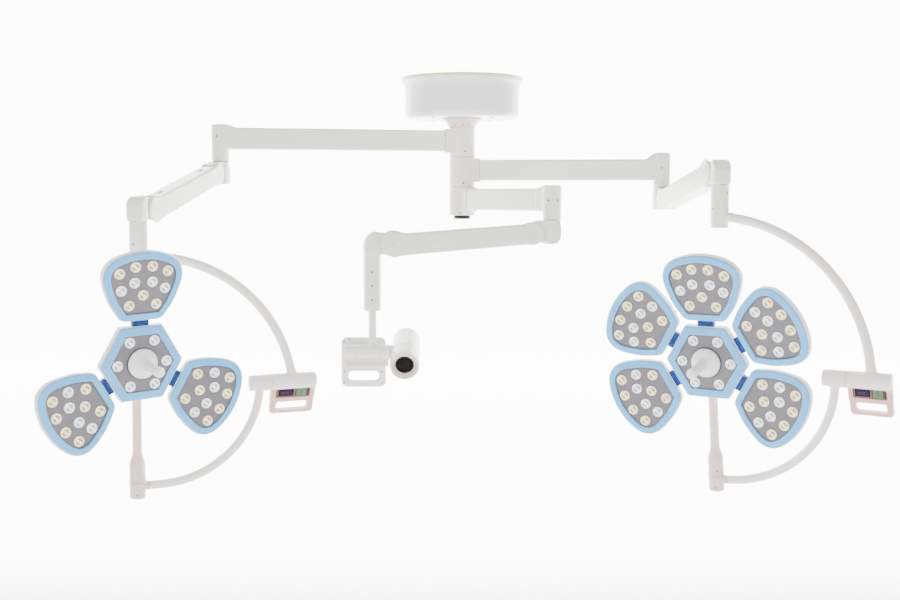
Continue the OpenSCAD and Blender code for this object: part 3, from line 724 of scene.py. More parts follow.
# ------------------------------------------------------------------ arms
SIDES = ["left", "right", "camera"]
for i, side in enumerate(SIDES):
    zc = ZC[i]
    L = ARM_LEN[i]

    # hub casting
    def f_hub(P, zc=zc):
        a = s_cyl(P, 47.25, zc - 59, zc + 48.5, 1.6)
        b = s_extrude(s_rect2(P[:, 1], P[:, 2], (-26, zc - 44), (26, zc + 44), 9), P[:, 0], 18, 68, 1.2)
        return smin(a, b, 7)

    g = Geo()
    V, F = casting(f_hub, axis_grid(-48, 69, 2.0), axis_grid(-48, 48, 2.0), axis_grid(zc - 60, zc + 49.5, 2.0))
    g.put(F_hub(i), V, F, 0)
    g.put(I4, *lathe([(30.4, zc - 59.6), (44.6, zc - 59.6), (44.6, zc - 58), (30.4, zc - 58)], 64, 1), 2)
    spots = {0: [(103, -47), (283, -40), (20, -47)], 1: [(-85, -48), (12, 3), (120, -40)], 2: [(-99, -50), (140, -45)]}[i]
    for az, dz in spots:
        a = math.radians(az - ARM_DIR[i]) if False else math.radians(az)
        c, s = math.cos(a), math.sin(a)
        screw(g, I4, (47.2 * c, 47.2 * s, zc + dz), (c, s, 0), 2.9, 0, 1)
    g.make(side + "_hub_casting", side + "_arm", ["hubpaint", "screw", "seal"], side + "_arm_hub", 44)

    # extension arm: tube, gusset and end housing as one welded shape
    up = zc + UP[i]
    zh = ZH[i]
    top_r = [7, 12, 3][i]

    def f_ext(P, zc=zc, L=L, up=up, zh=zh, top_r=top_r):
        t = s_extrude(s_rect2(P[:, 1], P[:, 2], (-23, zc - 38.5), (23, zc + 38.5), 8), P[:, 0], 68.6, L, 1.0)
        q = np.hypot(P[:, 0] - L, P[:, 1])
        d = s_poly2(q, P[:, 2], [(-60, zh), (28.4, zh), (30.5, zh + 9), (30.5, up), (-60, up)])
        d = smax(q - 30.5, np.abs(P[:, 2] - (zh + up) / 2) - (up - zh) / 2, 0)
        k = np.where(P[:, 2] > zc, top_r, 3.5)
        a, b = q - (30.5 - k), np.abs(P[:, 2] - (zh + up) / 2) - ((up - zh) / 2 - k)
        d = np.minimum(np.maximum(a, b), 0) + np.hypot(np.maximum(a, 0), np.maximum(b, 0)) - k
        gs = s_extrude(s_poly2(P[:, 0], P[:, 2], [(L - 10, zc - 36), (L - 10, up - 3), (L - 32, up - 3), (L - 62, zc + 36), (L - 62, zc - 36)]),
                       P[:, 1], -22.5, 22.5, 5)
        body = smin(smin(t, gs, 6), d, 7)
        return body

    g = Geo()
    V, F = casting(f_ext, axis_grid(68, L + 31, 2.2, (76, L - 74)), axis_grid(-31, 31, 2.2), axis_grid(min(zh, zc - 39) - 1, up + 1, 2.2), 1)
    g.put(F_hub(i), V, F, 0)
    g.put(F_hub(i) @ mov(L, 0, 0), *lathe([(18, zh - 0.5), (28.6, zh - 0.5), (28.6, zh + 0.8), (18, zh + 0.8)], 64, 1), 2)
    base = ARM_DIR[i]
    spots = {0: [(-103, 7, 0), (-20, -42, 0), (120, -42, 0)], 1: [(-102, -16 + 22, 0), (-142, -47, 0), (-42, 8, 0), (80, -30, 0)],
             2: [(-118, -30 + 28, 0), (-58, -2, 0), (60, -30, 0)]}[i]
    for az, dz, _ in spots:
        a = math.radians(az - base)
        c, s = math.cos(a), math.sin(a)
        screw(g, F_hub(i) @ mov(L, 0, 0), (30.5 * c, 30.5 * s, zc + dz), (c, s, 0), 2.8, 0, 1)
    for sx in (1, -1):
        for xx in ((92,) if i else ()):
            dimple(g, F_hub(i), (xx, 23 * sx, zc + 4), (0, sx, 0), 2.2, 3)
    g.make(side + "_extension_arm_welded", side + "_arm", ["arm", "screw", "seal", "mark"], side + "_extension_arm", 44)

    # knuckle casting: column, elbow, tongue with its raised top
    def f_knu(P):
        a = s_cyl(P, 30, -34, 45.6, 2.0)
        b = s_box(P, (-30, -28.8, -36), (26, 28.8, 34), 13)
        e = smin(a, b, 5)
        corner = s_rect2(P[:, 0], P[:, 2], (-30, -36), (570, 564), 36)
        e = smax(e, corner, 5)
        bump = s_extrude(s_poly2(P[:, 0], P[:, 2], [(0, -30), (64, -30), (84, -6), (86, 22), (82, 33), (68, 37.5), (56, 43.5), (0, 43.5)]), P[:, 1], -21.5, 21.5, 4)
        bar = s_cyl(P, 33, -22, 22, 2, 1, (68, 0))
        bump = np.where(P[:, 0] > 0, bump, bump)
        return smin(e, smin(bump, bar, 3), 3)

    g = Geo()
    V, F = casting(f_knu, axis_grid(-31, 102, 2.0), axis_grid(-31, 31, 2.0), axis_grid(-38, 47, 2.0))
    g.put(F_knuckle(i), V, F, 0)
    hd = UP[i] + DN[i]
    g.put(F_knuckle(i), *lathe_solid([(0, 40), (17, 40), (17, 47 + hd - 15, 2), (0, 47 + hd - 14)], 32, 2), 2)
    # oval screw seat on the raised top
    for px, oy in ((38, 0),):
        Ls = F_knuckle(i) @ mov(px, oy, 43.4)
        P = rect(5, 0.6)
        V, F = loft([at_z(outline(P, 3.6, 14), -1), at_z(outline(P, 3.6, 14), 0.35), at_z(outline(P, 2.8, 14), 0.6), at_z(outline(P, 2.3, 14), 0.3),
                     at_z(outline(P, 2.2, 14), 0.1)])
        g.put(Ls, V, F, 0)
        V, F = loft([at_z(outline(P, 2.4, 14), 0.15), at_z(outline(P, 2.2, 14), 0.45), at_z(outline(P, 1.2, 14), 0.5)])
        g.put(Ls, V, F, 1)
    g.make(side + "_knuckle_casting", side + "_knuckle", ["arm", "screw", "steel"], side + "_knuckle", 46)

    # spring arm: fork ends round both pivots, bottom cover with a curved seam, slots for the adjusters
    def f_spr(P):
        x, y, z = P[:, 0], P[:, 1], P[:, 2]
        d = s_poly2(x, z, [(0, -35), (S, -42.5), (S, 31.5), (0, 33)])
        d = smin(d, np.hypot(x, z) - 38.6, 6)
        d = smin(d, np.hypot(x - S, z) - 43.6, 16)
        seam = -27 + 11 * np.sin(np.clip((x - 60) / (S - 120), 0, 1) * math.pi)
        inset = 1.1 * (1 / (1 + np.exp(np.clip((z - seam) * 2.2, -30, 30))))
        e = s_extrude(d, y, -30, 30, 8) + inset
        fork = np.minimum(s_box(P, (-90, -23, -90), (27, 23, 90), 1), s_box(P, (S - 31, -23, -90), (S + 90, 23, 90), 1))
        e = smax(e, -fork, 1.6)
        for x0, x1 in ((66, 96), (S - 104, S - 66)):
            sl = s_extrude(s_rect2(x, y, (x0, -6.5), (x1, 6.5), 6.4), z, 24, 60, 0.8)
            e = smax(e, -sl, 1.4)
        return e

    g = Geo()
    V, F = casting(f_spr, axis_grid(-40, S + 45, 2.2, (108, S - 116), 9.0), axis_grid(-31, 31, 2.2), axis_grid(-45, 46, 2.2), 1)
    g.put(F_spring(i), V, F, 0)
    for x0, x1, zz in ((66, 96, 27.2), (S - 104, S - 66, 27.0)):
        V, F = rplate(x1 - x0 - 0.5, 12.6, 6.2, 22, zz, 0.8, (x0 + x1) / 2, 0)
        g.put(F_spring(i), V, F, 1)
        V, F = lathe_solid([(0, zz - 1), (4.6, zz - 1), (4.6, zz + 1.6, 0.5), (2.4, zz + 1.9), (2.4, zz + 0.7), (0, zz + 0.7)], 28, 2)
        g.put(F_spring(i) @ mov(x0 + 9 if x0 < 200 else x1 - 12, 0, 0), V, F, 3)
    for sy in (-1, 1):
        for xx in (0, S):
            dimple(g, F_spring(i), (xx, 30 * sy, 0), (0, sy, 0), 3.6, 2)
    g.put(F_spring(i), *tube([(0, -29, 0), (0, 29, 0)], 8, 28), 3)
    g.put(F_spring(i), *tube([(S, -29, 0), (S, 29, 0)], 8, 28), 3)
    g.make(side + "_spring_arm_shell", side + "_spring_arm", ["arm", "black", "mark", "steel"], side + "_spring_arm", 46)
    # spring pack: a wound spring on its rod between two end blocks
    g = Geo()
    th = np.linspace(0, 2 * math.pi * 26, 26 * 14)
    coil = np.stack([60 + 8 + (300 - 60 - 8) * th / th[-1], 10.5 * np.cos(th), 10.5 * np.sin(th)], 1)
    g.put(F_spring(i), *tube(coil, 2.4, 8), 0)
    g.put(F_spring(i), *tube([(64, 0, 0), (180, 0, 0), (S - 62, 0, 0)], 5.5, 20), 0)
    g.put(F_spring(i) @ mov(58, 0, 0) @ rot("y", 90), *rplate(46, 42, 6, 0, 6, 1), 0)
    g.put(F_spring(i) @ mov(S - 64, 0, 0) @ rot("y", 90), *rplate(50, 42, 6, 0, 6, 1), 0)
    g.put(F_spring(i) @ mov(296, 0, 0) @ rot("y", 90), *lathe([(5.6, 0), (14, 0, 1), (14, 7, 1), (5.6, 7)], 32, 2), 0)
    g.make(side + "_spring_pack", side + "_spring_arm", ["steel"], side + "_balance_spring", 40)

    # arm tip elbow
    low = -38 if i < 2 else -814 - ZT[2]

    def f_tip(P, low=low):
        a = s_cyl(P, 28.5, low, 6, 2.0 if low > -100 else 7.0)
        b = s_box(P, (-28.5, -28.5, -40), (21, 28.5, 42.5), 13)
        b = smax(b, s_rect2(P[:, 0], P[:, 2], (-28.5, -600), (570, 42.5), 50), 4)
        b = smax(b, -(P[:, 2] + 40 + (P[:, 0] + 28.5) * 0.05), 3)
        e = smin(a, b, 6)
        t = s_extrude(s_poly2(P[:, 0], P[:, 2], [(0, -36), (60, -36), (84, -12), (84, 12), (60, 36), (0, 38)]), P[:, 1], -21.5, 21.5, 4)
        bar = s_cyl(P, 33, -22, 22, 2, 1, (68, 0))
        return smin(e, smin(t, bar, 3), 3)

    g = Geo()
    zg = axis_grid(low, 44, 2.0) if i < 2 else axis_grid(low, 44, 2.0, (low + 24, -52), 12)
    V, F = casting(f_tip, axis_grid(-30, 102, 2.0), axis_grid(-30, 30, 2.0), zg)
    g.put(F_tip(i), V, F, 0)
    if i == 2:
        for z in (-92, -137, -184):
            a = math.radians(-87) - math.radians(SPR_DIR[2] + 180)
            c, s = math.cos(a), math.sin(a)
            screw(g, F_tip(i), (28.5 * c, 28.5 * s, z), (c, s, 0), 2.9, 0, 1)
        g.put(F_tip(i), *lathe([(27.6, low + 27.4), (28.75, low + 27.4), (28.75, low + 28.4, 0.3), (27.6, low + 28.4)], 64, 1), 3)
        g.put(F_tip(i), *lathe([(13.3, low - 0.8), (17.5, low - 0.8, 0.4), (18.5, low + 1.5), (13.3, low + 1.5)], 48, 2), 2)
    g.make(side + "_arm_tip_elbow", side + "_tip", ["arm", "screw", "seal", "mark"], side + "_arm_tip", 46)


# ------------------------------------------------------------------ bows
def bow_path(x0, reach, h, v, n=44):
    """Level from the origin, quarter turn, upright end."""
    r = min(reach, h)
    P = []
    if reach - r > 1:
        for k in range(6):
            P.append((x0 + (reach - r) * k / 6, 0, 0))
    for k in range(n + 1):
        q = math.pi / 2 * k / n
        P.append((x0 + reach - r + r * math.sin(q), 0, v * (r - r * math.cos(q))))
    if h - r > 1:
        for k in range(1, 7):
            P.append((x0 + reach, 0, v * (r + (h - r) * k / 6)))
    return np.array(P)


def bow_arc(reach, h, lead, n=70):
    """One arc that falls by h over the reach and leaves its start at an angle below level."""
    a = math.radians(lead)
    b = 2 * math.atan2(h, reach) - a
    r = reach / (math.sin(b) - math.sin(a))
    t = np.linspace(a, b, n)
    return np.stack([r * (np.sin(t) - math.sin(a)), 0 * t, -r * (math.cos(a) - np.cos(t))], 1)


for i, side in enumerate(SIDES[:2]):
    FB, FS = F_bow(i), F_swing(i)
    za = Z_ATT[i]
    # drop tube with the root of the outer bow blended into its wall
    ztop = ZT[i] - 38.9

    def f_drop(P, i=i, za=za, ztop=ztop):
        a = s_cyl(P, 28.5, Z_DROP[i], ztop, 2.6)
        q = np.hypot(P[:, 1], P[:, 2] - za) - 15.0
        b = np.maximum(q, np.maximum(-P[:, 0], P[:, 0] - 44))
        return smin(a, b, 5)

    g = Geo()
    V, F = casting(f_drop, axis_grid(-29, 45, 2.0), axis_grid(-29, 29, 2.0), axis_grid(Z_DROP[i], ztop, 2.0))
    g.put(FB, V, F, 0)
    g.put(FB, *lathe_solid([(0, ztop - 1), (15, ztop - 1), (15, ZT[i] + 19, 2), (0, ZT[i] + 20)], 40, 2), 2)
    g.put(FB, *lathe([(16, ztop - 0.2), (27.4, ztop - 0.2), (27.4, ztop + 1.1), (16, ztop + 1.1)], 64, 1), 3)
    spots = {0: [(-110, -70), (40, -80)], 1: [(-150, -76), (-50, -26), (-38, -80), (60, -40)]}[i]
    for az, dz in spots:
        a = math.radians(az - YAW[i])
        c, s = math.cos(a), math.sin(a)
        screw(g, FB, (28.5 * c, 28.5 * s, ztop + dz), (c, s, 0), 2.8, 0, 1)
    g.make(side + "_drop_tube_welded", side + "_bow", ["arm", "screw", "steel", "seal"], side + "_drop_tube", 46)

    # outer bow
    path = bow_arc(460, za - Z_AX[i] - 24, LEAD[i])
    path[:, 0] += 20
    path[:, 2] += za
    keep = path[:, 0] > 42
    path = np.vstack([[(42, 0, np.interp(42, path[:, 0], path[:, 2]))], path[keep]])
    g = Geo()
    g.put(FB, *tube(path, 15.0, 40), 0)
    g.make(side + "_outer_bow_tube", side + "_bow", ["bow"], side + "_outer_bow", 40)

    # panel housing
    ct, st = math.cos(math.radians(PANEL_TILT)), math.sin(math.radians(PANEL_TILT))

    px1 = PANEL_END[i]
    pcx, pk = (412 + px1) / 2, (px1 - 412) / 148.0

    def f_pan(P, px1=px1, pcx=pcx, pk=pk):
        x, y, z = P[:, 0], P[:, 1], P[:, 2]
        yl = ct * y + st * z
        zl = -st * y + ct * z
        bar = s_cyl(P, 27, 412, px1, 4.0, 0)
        up_ = s_extrude(s_rect2(x, zl, (412, -66), (px1, 14), 5), yl, -13, 11, 4)
        low_ = s_extrude(s_rect2(x, zl, (412, -124), (px1, -20), 14), yl, -9, 9, 4.5)
        e = smin(smin(bar, up_, 10), low_, 5)
        cone = np.hypot(x - 480, y) - (15.2 + 9 * np.clip((36 - z) / 22, 0, 1) ** 2)
        boss = smax(smax(cone, z - 40, 1.0), -z, 1.0)
        e = smin(e, boss, 9)
        slot_ = s_extrude(s_rect2(x, zl, (pcx - 51 * pk, -110), (pcx + 51 * pk, -78), 8), yl, -60, 60, 1)
        slot_ = np.where(zl < -60, slot_, 50.0)
        e = smax(e, -slot_, 5)
        rec = s_extrude(s_rect2(x, zl, (pcx - 56.5 * pk, -56.5), (pcx + 56.5 * pk, -17.5), 3), yl, -40, -8.4, 0.6)
        e = smax(e, -rec, 1.6)
        hole = s_cyl(P, 12.4, 405, 474, 0.5, 0)
        return smax(e, -hole, 1.0)

    g = Geo()
    FP = FB @ mov(0, 0, Z_AX[i])
    V, F = casting(f_pan, axis_grid(411, 561, 1.9), axis_grid(-30, 66, 1.9), axis_grid(-118, 44, 1.9))
    yl = ct * V[:, 1] + st * V[:, 2]
    zl = -st * V[:, 1] + ct * V[:, 2]
    FA = np.array(F)
    fy, fz = yl[FA].mean(1), zl[FA].mean(1)
    # front faces low on the housing take the pinkish colour: painted warm bounce light
    front = (fy < -8.2) & (fz < -14)
    g.put(FP, V, F, np.where(front, 1, 0))
    FL = FP @ rot("x", PANEL_TILT) @ mov(pcx, 0, 0)
    for sx in (-62 * pk, 62 * pk):
        for z_ in (-66, -116):
            screw(g, FL, (sx, 9.0, z_), (0, 1, 0), 2.2, 0, 2)
    # an end cap at the barrel's far end
    g.put(FP @ mov(px1, 0, 0) @ rot("y", 90), *lathe_solid([(0, -2), (20, -2), (20, 0.8, 0.8), (6, 1.4, 2), (0, 1.4)], 48, 3), 0)
    g.make(side + "_panel_housing_moulding", side + "_bow", ["panelw", "panel_bounce_tint", "screw"], side + "_panel_housing", 46)

    # control face: film, glass window, keys
    FF = FL @ mov(0, -10.6, -37) @ rot("x", 90) @ np.diag([pk, 1.0, 1.0, 1.0])
    g = Geo()
    g.put(FF, *rplate(111.6, 37.6, 3, 0, 1.4, 0.3), 1)
    g.put(FF, *rplate(107, 33.5, 2.2, 1.2, 2.0, 0.25), 0)
    g.put(FF, *rplate(56, 30, 1.5, 1.6, 2.5, 0.3, -23.5, 0), 5)
    g.put(FF, *rplate(51, 26, 1.2, 2.1, 2.9, 0.3, -23.5, 0), 2)
    g.put(FF, *rplate(43, 18, 0.8, 2.7, 3.0, 0.1, -23, 0.5), 3)
    for a in range(3):
        for b in range(2):
            g.put(FF, *rplate(6.5, 0.9, 0.3, 2.9, 3.06, 0.05, -36 + 9 * a, -3 + 6 * b), 5)
    g.put(FF, *rplate(40, 30.5, 1.2, 1.7, 2.3, 0.2, 27.5, 0), 6)
    for a in (0, 1):
        for b in range(3):
            cx, cy = 19 + 17.5 * a, -9.9 + 9.9 * b
            g.put(FF, *rplate(15.2, 8.4, 1.6, 2.0, 3.1, 0.5, cx, cy), 7)
            g.put(FF, *rplate(12.2, 5.6, 1.2, 2.9, 3.5, 0.3, cx, cy), 4)
            g.put(FF, *rplate(6.6, 1.0, 0.4, 3.3, 3.66, 0.1, cx, cy), 7)
    g.put(FF, *rplate(4.6, 30, 1.0, 1.7, 2.5, 0.3, 51, 0), 6)
    g.make(side + "_control_face", side + "_bow", ["overlay", "overlay_dk", "lcd", "lcd2", "key", "overlay", "overlay_dk", "key2"],
           side + "_panel_face", 30)

    # inner bow: swivel barrel, bent tube, bottom collar
    path = bow_path(0, 375 - A3, -Z_COL[i] - 38, 1, 60)
    path[:, 0] += A3
    path[:, 2] += Z_COL[i] + 38

    def f_bar(P):
        x, y, z = P[:, 0], P[:, 1], P[:, 2]
        a = s_cyl(P, 26, 340, 411.2, 2.6, 0)
        rib = s_cyl(P, 26.7, 388, 411.2, 1.2, 0)
        q = np.hypot(x - 375, y) - 14.0
        # the tube comes in along its own arc
        r = min(375 - A3, -Z_COL[i] - 38)
        xc = 375 - r
        zc_ = Z_COL[i] + 38 + r
        arc = np.hypot(np.hypot(x - xc, z - min(zc_, 0)) - r, y) - 14.0
        qq = np.where(z < min(zc_, 0), arc, q)
        b = np.maximum(qq, np.maximum(z, -42 - z))
        return smin(smin(a, rib, 0.8), b, 6)

    def f_colr(P, i=i):
        x, y, z = P[:, 0] - A3, P[:, 1], P[:, 2]
        Q = np.stack([x, y, z], 1)
        a = s_cyl(Q, 25, Z_COL[i], Z_COL[i] + 53.4, 2.4)
        r = min(375 - A3, -Z_COL[i] - 38)
        z0 = Z_COL[i] + 38
        xs_ = 375 - A3 - r
        arc = np.where(x > xs_, np.hypot(np.hypot(x - xs_, z - (z0 + r)) - r, y), np.hypot(y, z - z0)) - 14.0
        b = np.maximum(arc, np.maximum(-x, x - 40))
        return smin(a, b, 5)

    g = Geo()
    V, F = casting(f_bar, axis_grid(339, 412, 2.0), axis_grid(-28, 28, 2.0), axis_grid(-44, 28, 2.0))
    g.put(FS, V, F, 0)
    V, F = casting(f_colr, axis_grid(A3 - 26, A3 + 42, 2.0), axis_grid(-26, 26, 2.0), axis_grid(Z_COL[i] - 1, Z_COL[i] + 54, 2.0))
    g.put(FS, V, F, 1)
    mid = (path[:, 0] > A3 + 36) & (path[:, 2] < -38)
    g.put(FS, *tube(path[mid], 13.96, 40), 0)
    g.put(FS, *tube([(410, 0, 0), (440, 0, 0), (469, 0, 0)], 11.9, 32), 2)
    g.put(FS @ mov(340, 0, 0) @ rot("y", -90), *lathe_solid([(0, -2), (19, -2), (19, 0.7, 0.6), (5, 1.3, 2), (0, 1.3)], 48, 3), 0)
    g.put(FS @ mov(A3, 0, Z_COL[i]) @ rot("x", 180), *lathe_solid([(0, -2), (15, -2), (15, 0.6, 0.5), (3.4, 1.0, 1), (3.2, -0.6), (0, -0.6)], 40, 2), 1)
    g.put(FS @ mov(A3, 0, 0), *lathe([(12, Z_COL[i] + 53), (23.6, Z_COL[i] + 53), (23.6, Z_COL[i] + 54.1), (12, Z_COL[i] + 54.1)], 48, 1), 3)
    for az in ((-100,), (-80,))[i]:
        a = math.radians(az)
        screw(g, FS @ mov(A3, 0, 0), (25 * math.cos(a), 25 * math.sin(a), Z_COL[i] + 14), (math.cos(a), math.sin(a), 0), 2.4, 1, 4)
    g.make(side + "_inner_bow_tube", side + "_inner_bow", ["bow", "post", "steel", "seal", "screw"], side + "_inner_bow", 46)


# ------------------------------------------------------------------ heads
HALF = [(50, 165), (76, 203), (91, 240), (99, 265), (102, 280), (99, 292), (90, 304), (62, 316), (32, 324), (0, 326.5)]


def smooth_petal():
    """Outline of the light panel of a petal: sharp lower corners, curved sides and top."""
    ctrl = np.array(HALF + [(-x, y) for x, y in HALF[-2::-1]], float)
    ext = np.vstack([2 * ctrl[0] - ctrl[1], ctrl, 2 * ctrl[-1] - ctrl[-2]])
    out = []
    for k in range(1, len(ext) - 2):
        p0, p1, p2, p3 = ext[k - 1], ext[k], ext[k + 1], ext[k + 2]
        ln = np.linalg.norm(p2 - p1)
        n = max(2, int(ln / 5))
        for j in range(n):
            t = j / n
            out.append(0.5 * ((2 * p1) + (-p0 + p2) * t + (2 * p0 - 5 * p1 + 4 * p2 - p3) * t * t + (-p0 + 3 * p1 - 3 * p2 + p3) * t ** 3))
    out.append(ctrl[-1])
    out = np.array(out)
    for _ in range(14):
        keep_ = out.copy()
        out[1:-1] = 0.25 * keep_[:-2] + 0.5 * keep_[1:-1] + 0.25 * keep_[2:]
    bottom = [(-50 + 100 * (j + 1) / 8, 165.0) for j in range(7)]
    return np.vstack([out, bottom])


PETAL = smooth_petal()
HEX = np.array([[88 / math.cos(math.radians(30)) * math.cos(math.radians(60 * k)), 88 / math.cos(math.radians(30)) * math.sin(math.radians(60 * k))] for k in range(6)])


def subdivide(P, n):
    out = []
    for i in range(len(P)):
        a, b = P[i], P[(i + 1) % len(P)]
        for j in range(n):
            out.append(a + (b - a) * j / n)
    return np.array(out)


HEXD = subdivide(HEX, 5)


def hex_at(apothem, corner, z):
    """Hexagon with a given flat distance and corner radius; same point count for every size."""
    return at_z(outline(HEXD * ((apothem - corner) / 88.0), corner, 9.0), z)


def rings(P, spec, closed=False, cap0=True, cap1=True, step=9.0):
    return loft([at_z(outline(P, r, step), z) for r, z in spec], closed, cap0, cap1)


def bezel_section(out_r, in_r, top, low):
    """Soft ring: rounded outer shoulder, a slow slope, a rolled inner lip."""
    pts = [(in_r, low), (in_r, top - 1.6, 1.2), (in_r + 1.6, top, 1.2), (in_r + 6.0, top - 0.5, 2), (out_r - 4.2, top - 1.5, 3.0),
           (out_r - 0.2, top - 5.2, 2.2), (out_r, low, 0.5)]
    return rounded(pts, 4)


def dome_loops(P, spec, centre, step=9.0):
    """Loops that shrink towards a centre: (growth, z, scale)."""
    out = []
    for r, z, s in spec:
        q = outline(P, r, step)
        out.append(at_z(centre + (q - centre) * s, z))
    return out


def seg_rot(x, y, a):
    c, s = math.cos(math.radians(a)), math.sin(math.radians(a))
    return x * c - y * s, x * s + y * c


def lens(g, F, x, y, turn, warm):
    """One lamp lens: raised rim, shallow dish, bright bar across it and the dark chips either side."""
    r_, d_, b_, c_ = (0, 1, 2, 3) if warm else (4, 5, 6, 7)
    L = F @ mov(x, y, 0)
    g.put(L, *lathe([(13.6, -1.5), (14.1, 1.0, 0.5), (15.0, 1.7, 0.5), (16.2, 1.2, 0.5), (16.5, -1.5)], 40, 2), r_)
    g.put(L, *lathe_solid([(0, -1.5), (13.8, -1.5), (13.8, 0.55, 0.3), (12.4, 0.15), (5, -0.25), (0, -0.35)], 40, 2), d_)
    T = L @ rot("z", turn)
    # local x runs along the bright bar
    g.put(T, *rplate(24.6, 4.6, 2.2, -0.6, 1.05, 0.6, 0, -0.4, 2, 30), b_)
    for w, h, cx, cy, a in ((15.0, 2.4, 0.6, 4.6, 0), (9.6, 2.2, 1.0, 9.4, 0), (6.0, 2.0, -3.4, 7.0, 62), (5.6, 2.2, 5.2, 7.0, 90),
                            (11.0, 2.3, -1.8, -5.2, 0), (8.0, 2.2, 2.6, -7.8, 60), (7.0, 2.2, -2.2, -9.2, 125)):
        g.put(T @ mov(cx, cy, 0) @ rot("z", a), *rplate(w, h, 0.8, -0.5, 0.62, 0.3, 0, 0, 2, 30), c_)


LENS_MATS = ["lens_ring_w", "lens_dish_w", "bar_w", "chip_w", "lens_ring_c", "lens_dish_c", "bar_c", "chip_c"]
WARM = {290.2, 308.2, 186.7, 217.8}
PLENS = [(s * a, b) for s in (-1, 1) for a, b in ((77.3, 290.2), (27.1, 308.2), (70.3, 236.2), (28.6, 258.6), (43.5, 186.7))] + [(0, 217.8)]

for i, side in enumerate(SIDES[:2]):
    FH, FC = F_head(i), F_face(i)
    zc = Z_COL[i]
    # post with its sleeve
    g = Geo()
    g.put(FH, *lathe([(10.5, zc + 54.6), (25.6, zc + 54.6, 0.5), (26.5, zc + 55.6, 0.6), (26.5, zc + 58.6, 0.6), (25.2, zc + 59.8, 0.5), (25.0, zc + 61),
                      (25.0, zc + 112, 3), (24.0, zc + 119, 4), (16.6, zc + 142, 6), (15.1, zc + 150, 3), (15.0, zc + 156), (10.5, zc + 156)], 56, 4), 0)
    g.put(FH, *lathe_solid([(0, zc + 12), (10, zc + 12), (10, zc + 120), (15, zc + 151), (15, RISE[i] - 66), (0, RISE[i] - 66)], 48, 2), 0)
    a = math.radians(-60)
    screw(g, FH, (25 * math.cos(a), 25 * math.sin(a), zc + 72), (math.cos(a), math.sin(a), 0), 2.2, 0, 1)
    g.make(side + "_head_post_turned", side + "_head", ["post", "screw"], side + "_head_post", 40)

    # hub back shell: hexagon at the face, round at the back
    def hub_loop(r, z, mix, rad):
        q = hex_at(88 + r, max(2.0, 12.0 if r > 12 else r * 0.9 + 1.5), 0)[:, :2]
        a = np.arctan2(q[:, 1], q[:, 0])
        cq = np.stack([rad * np.cos(a), rad * np.sin(a)], 1)
        return at_z(q * (1 - mix) + cq * mix, z)

    spec = [(24.0, -4.6, 0, 0), (27.4, -3.4, 0, 0), (29.4, -4.4, 0, 0), (30.6, -8, 0, 0), (31.2, -15, 0, 0), (30.8, -24, 0, 0), (28.6, -31, 0, 0), (23.6, -37.5, 0, 0),
            (15.0, -43.5, 0.02, 88), (9.0, -50, 0.08, 88), (4.0, -56, 0.2, 88), (1.0, -61, 0.42, 88), (0.0, -65, 0.7, 87.5), (0.0, -69, 0.92, 86.5), (0.0, -74, 1, 85.8),
            (0, -88, 1, 85.0), (0, -93, 1, 84.0), (0, -98, 1, 81.0), (0, -104, 1, 76), (0, -109, 1, 71), (0, -112.6, 1, 66), (0, -114.4, 1, 60), (0, -115, 1, 52),
            (0, -115, 1, 30), (0, -115, 1, 8)]
    g = Geo()
    V, F = loft([hub_loop(*s) for s in spec])
    g.put(FC, V, F, 0)
    # back cover: raised disc with four screws, and the collar of the post
    g.put(FC, *lathe([(46, -114.2), (46, -116.4, 0.6), (60, -116.4, 0.8), (61.5, -114.0, 0.5)], 80, 2), 0)
    for k in range(4):
        c, s = math.cos(math.radians(90 * k + 45)), math.sin(math.radians(90 * k + 45))
        screw(g, FC, (53 * c, 53 * s, -116.4), (0, 0, -1), 2.6, 0, 1)
    for sz in range(12):
        q = math.radians(30 * sz + 15)
        g.put(FC @ rot("z", 30 * sz + 15) @ mov(84.6, 0, -82), *rplate(2.2, 16, 1, -7, 7, 0.6), 0)
    g.put(FH @ mov(0, 0, RISE[i]), *lathe([(14.6, -84), (18.5, -84, 0.8), (20.5, -80, 2), (21.5, -66), (14.6, -66)], 56, 3), 0)
    g.make(side + "_hub_back_shell", side + "_head", ["shell", "screw"], side + "_hub_shell", 32)

    g = Geo()
    V, F = loft([hex_at(88 + r, 1.5 + 10.5 * min(1, max(0, r - 2) / 20), z) for r, z in bezel_section(28.0, 1.6, 4.0, -4.0)], closed=True)
    g.put(FC, V, F, 0)
    g.make(side + "_hub_bezel_ring", side + "_head", ["bezel"], side + "_hub_bezel", 50)

    # light panel, with dark rings painted as shadow round its edge, the handle foot and each lens
    g = Geo()
    V, F = loft(dome_loops(HEXD, [(1.4, -3.8, 1), (1.4, -1.8, 1), (1.0, -1.6, 1), (0, -1.6, 0.96), (0, -1.6, 0.7), (0, -1.6, 0.35)], np.zeros(2)))
    g.put(FC, V, F, 0)
    V, F = rings(HEXD, [(1.3, -4.2), (3.0, -4.2), (3.0, -1.2), (1.7, -0.9), (1.3, -1.5)], closed=True)
    g.put(FC, V, F, 1)
    g.put(FC, *lathe([(46.6, -1.7), (46.6, -0.9), (50.2, -1.2), (50.6, -1.7)], 72, 1), 1)
    for k in range(6):
        c, s = math.cos(math.radians(60 * k)), math.sin(math.radians(60 * k))
        g.put(FC @ mov(80 * c, 80 * s, 0), *lathe([(16.2, -1.8), (16.2, -1.3), (17.3, -1.35), (17.6, -1.8)], 40, 1), 1)
    g.make(side + "_hub_light_plate", side + "_head", ["grey", "shadow"], side + "_hub_light_panel", 40)
    g = Geo()
    for k in range(6):
        c, s = math.cos(math.radians(60 * k)), math.sin(math.radians(60 * k))
        lens(g, FC, 80 * c, 80 * s, -42, False)
    g.make(side + "_hub_lenses", side + "_head", LENS_MATS, (), 40)

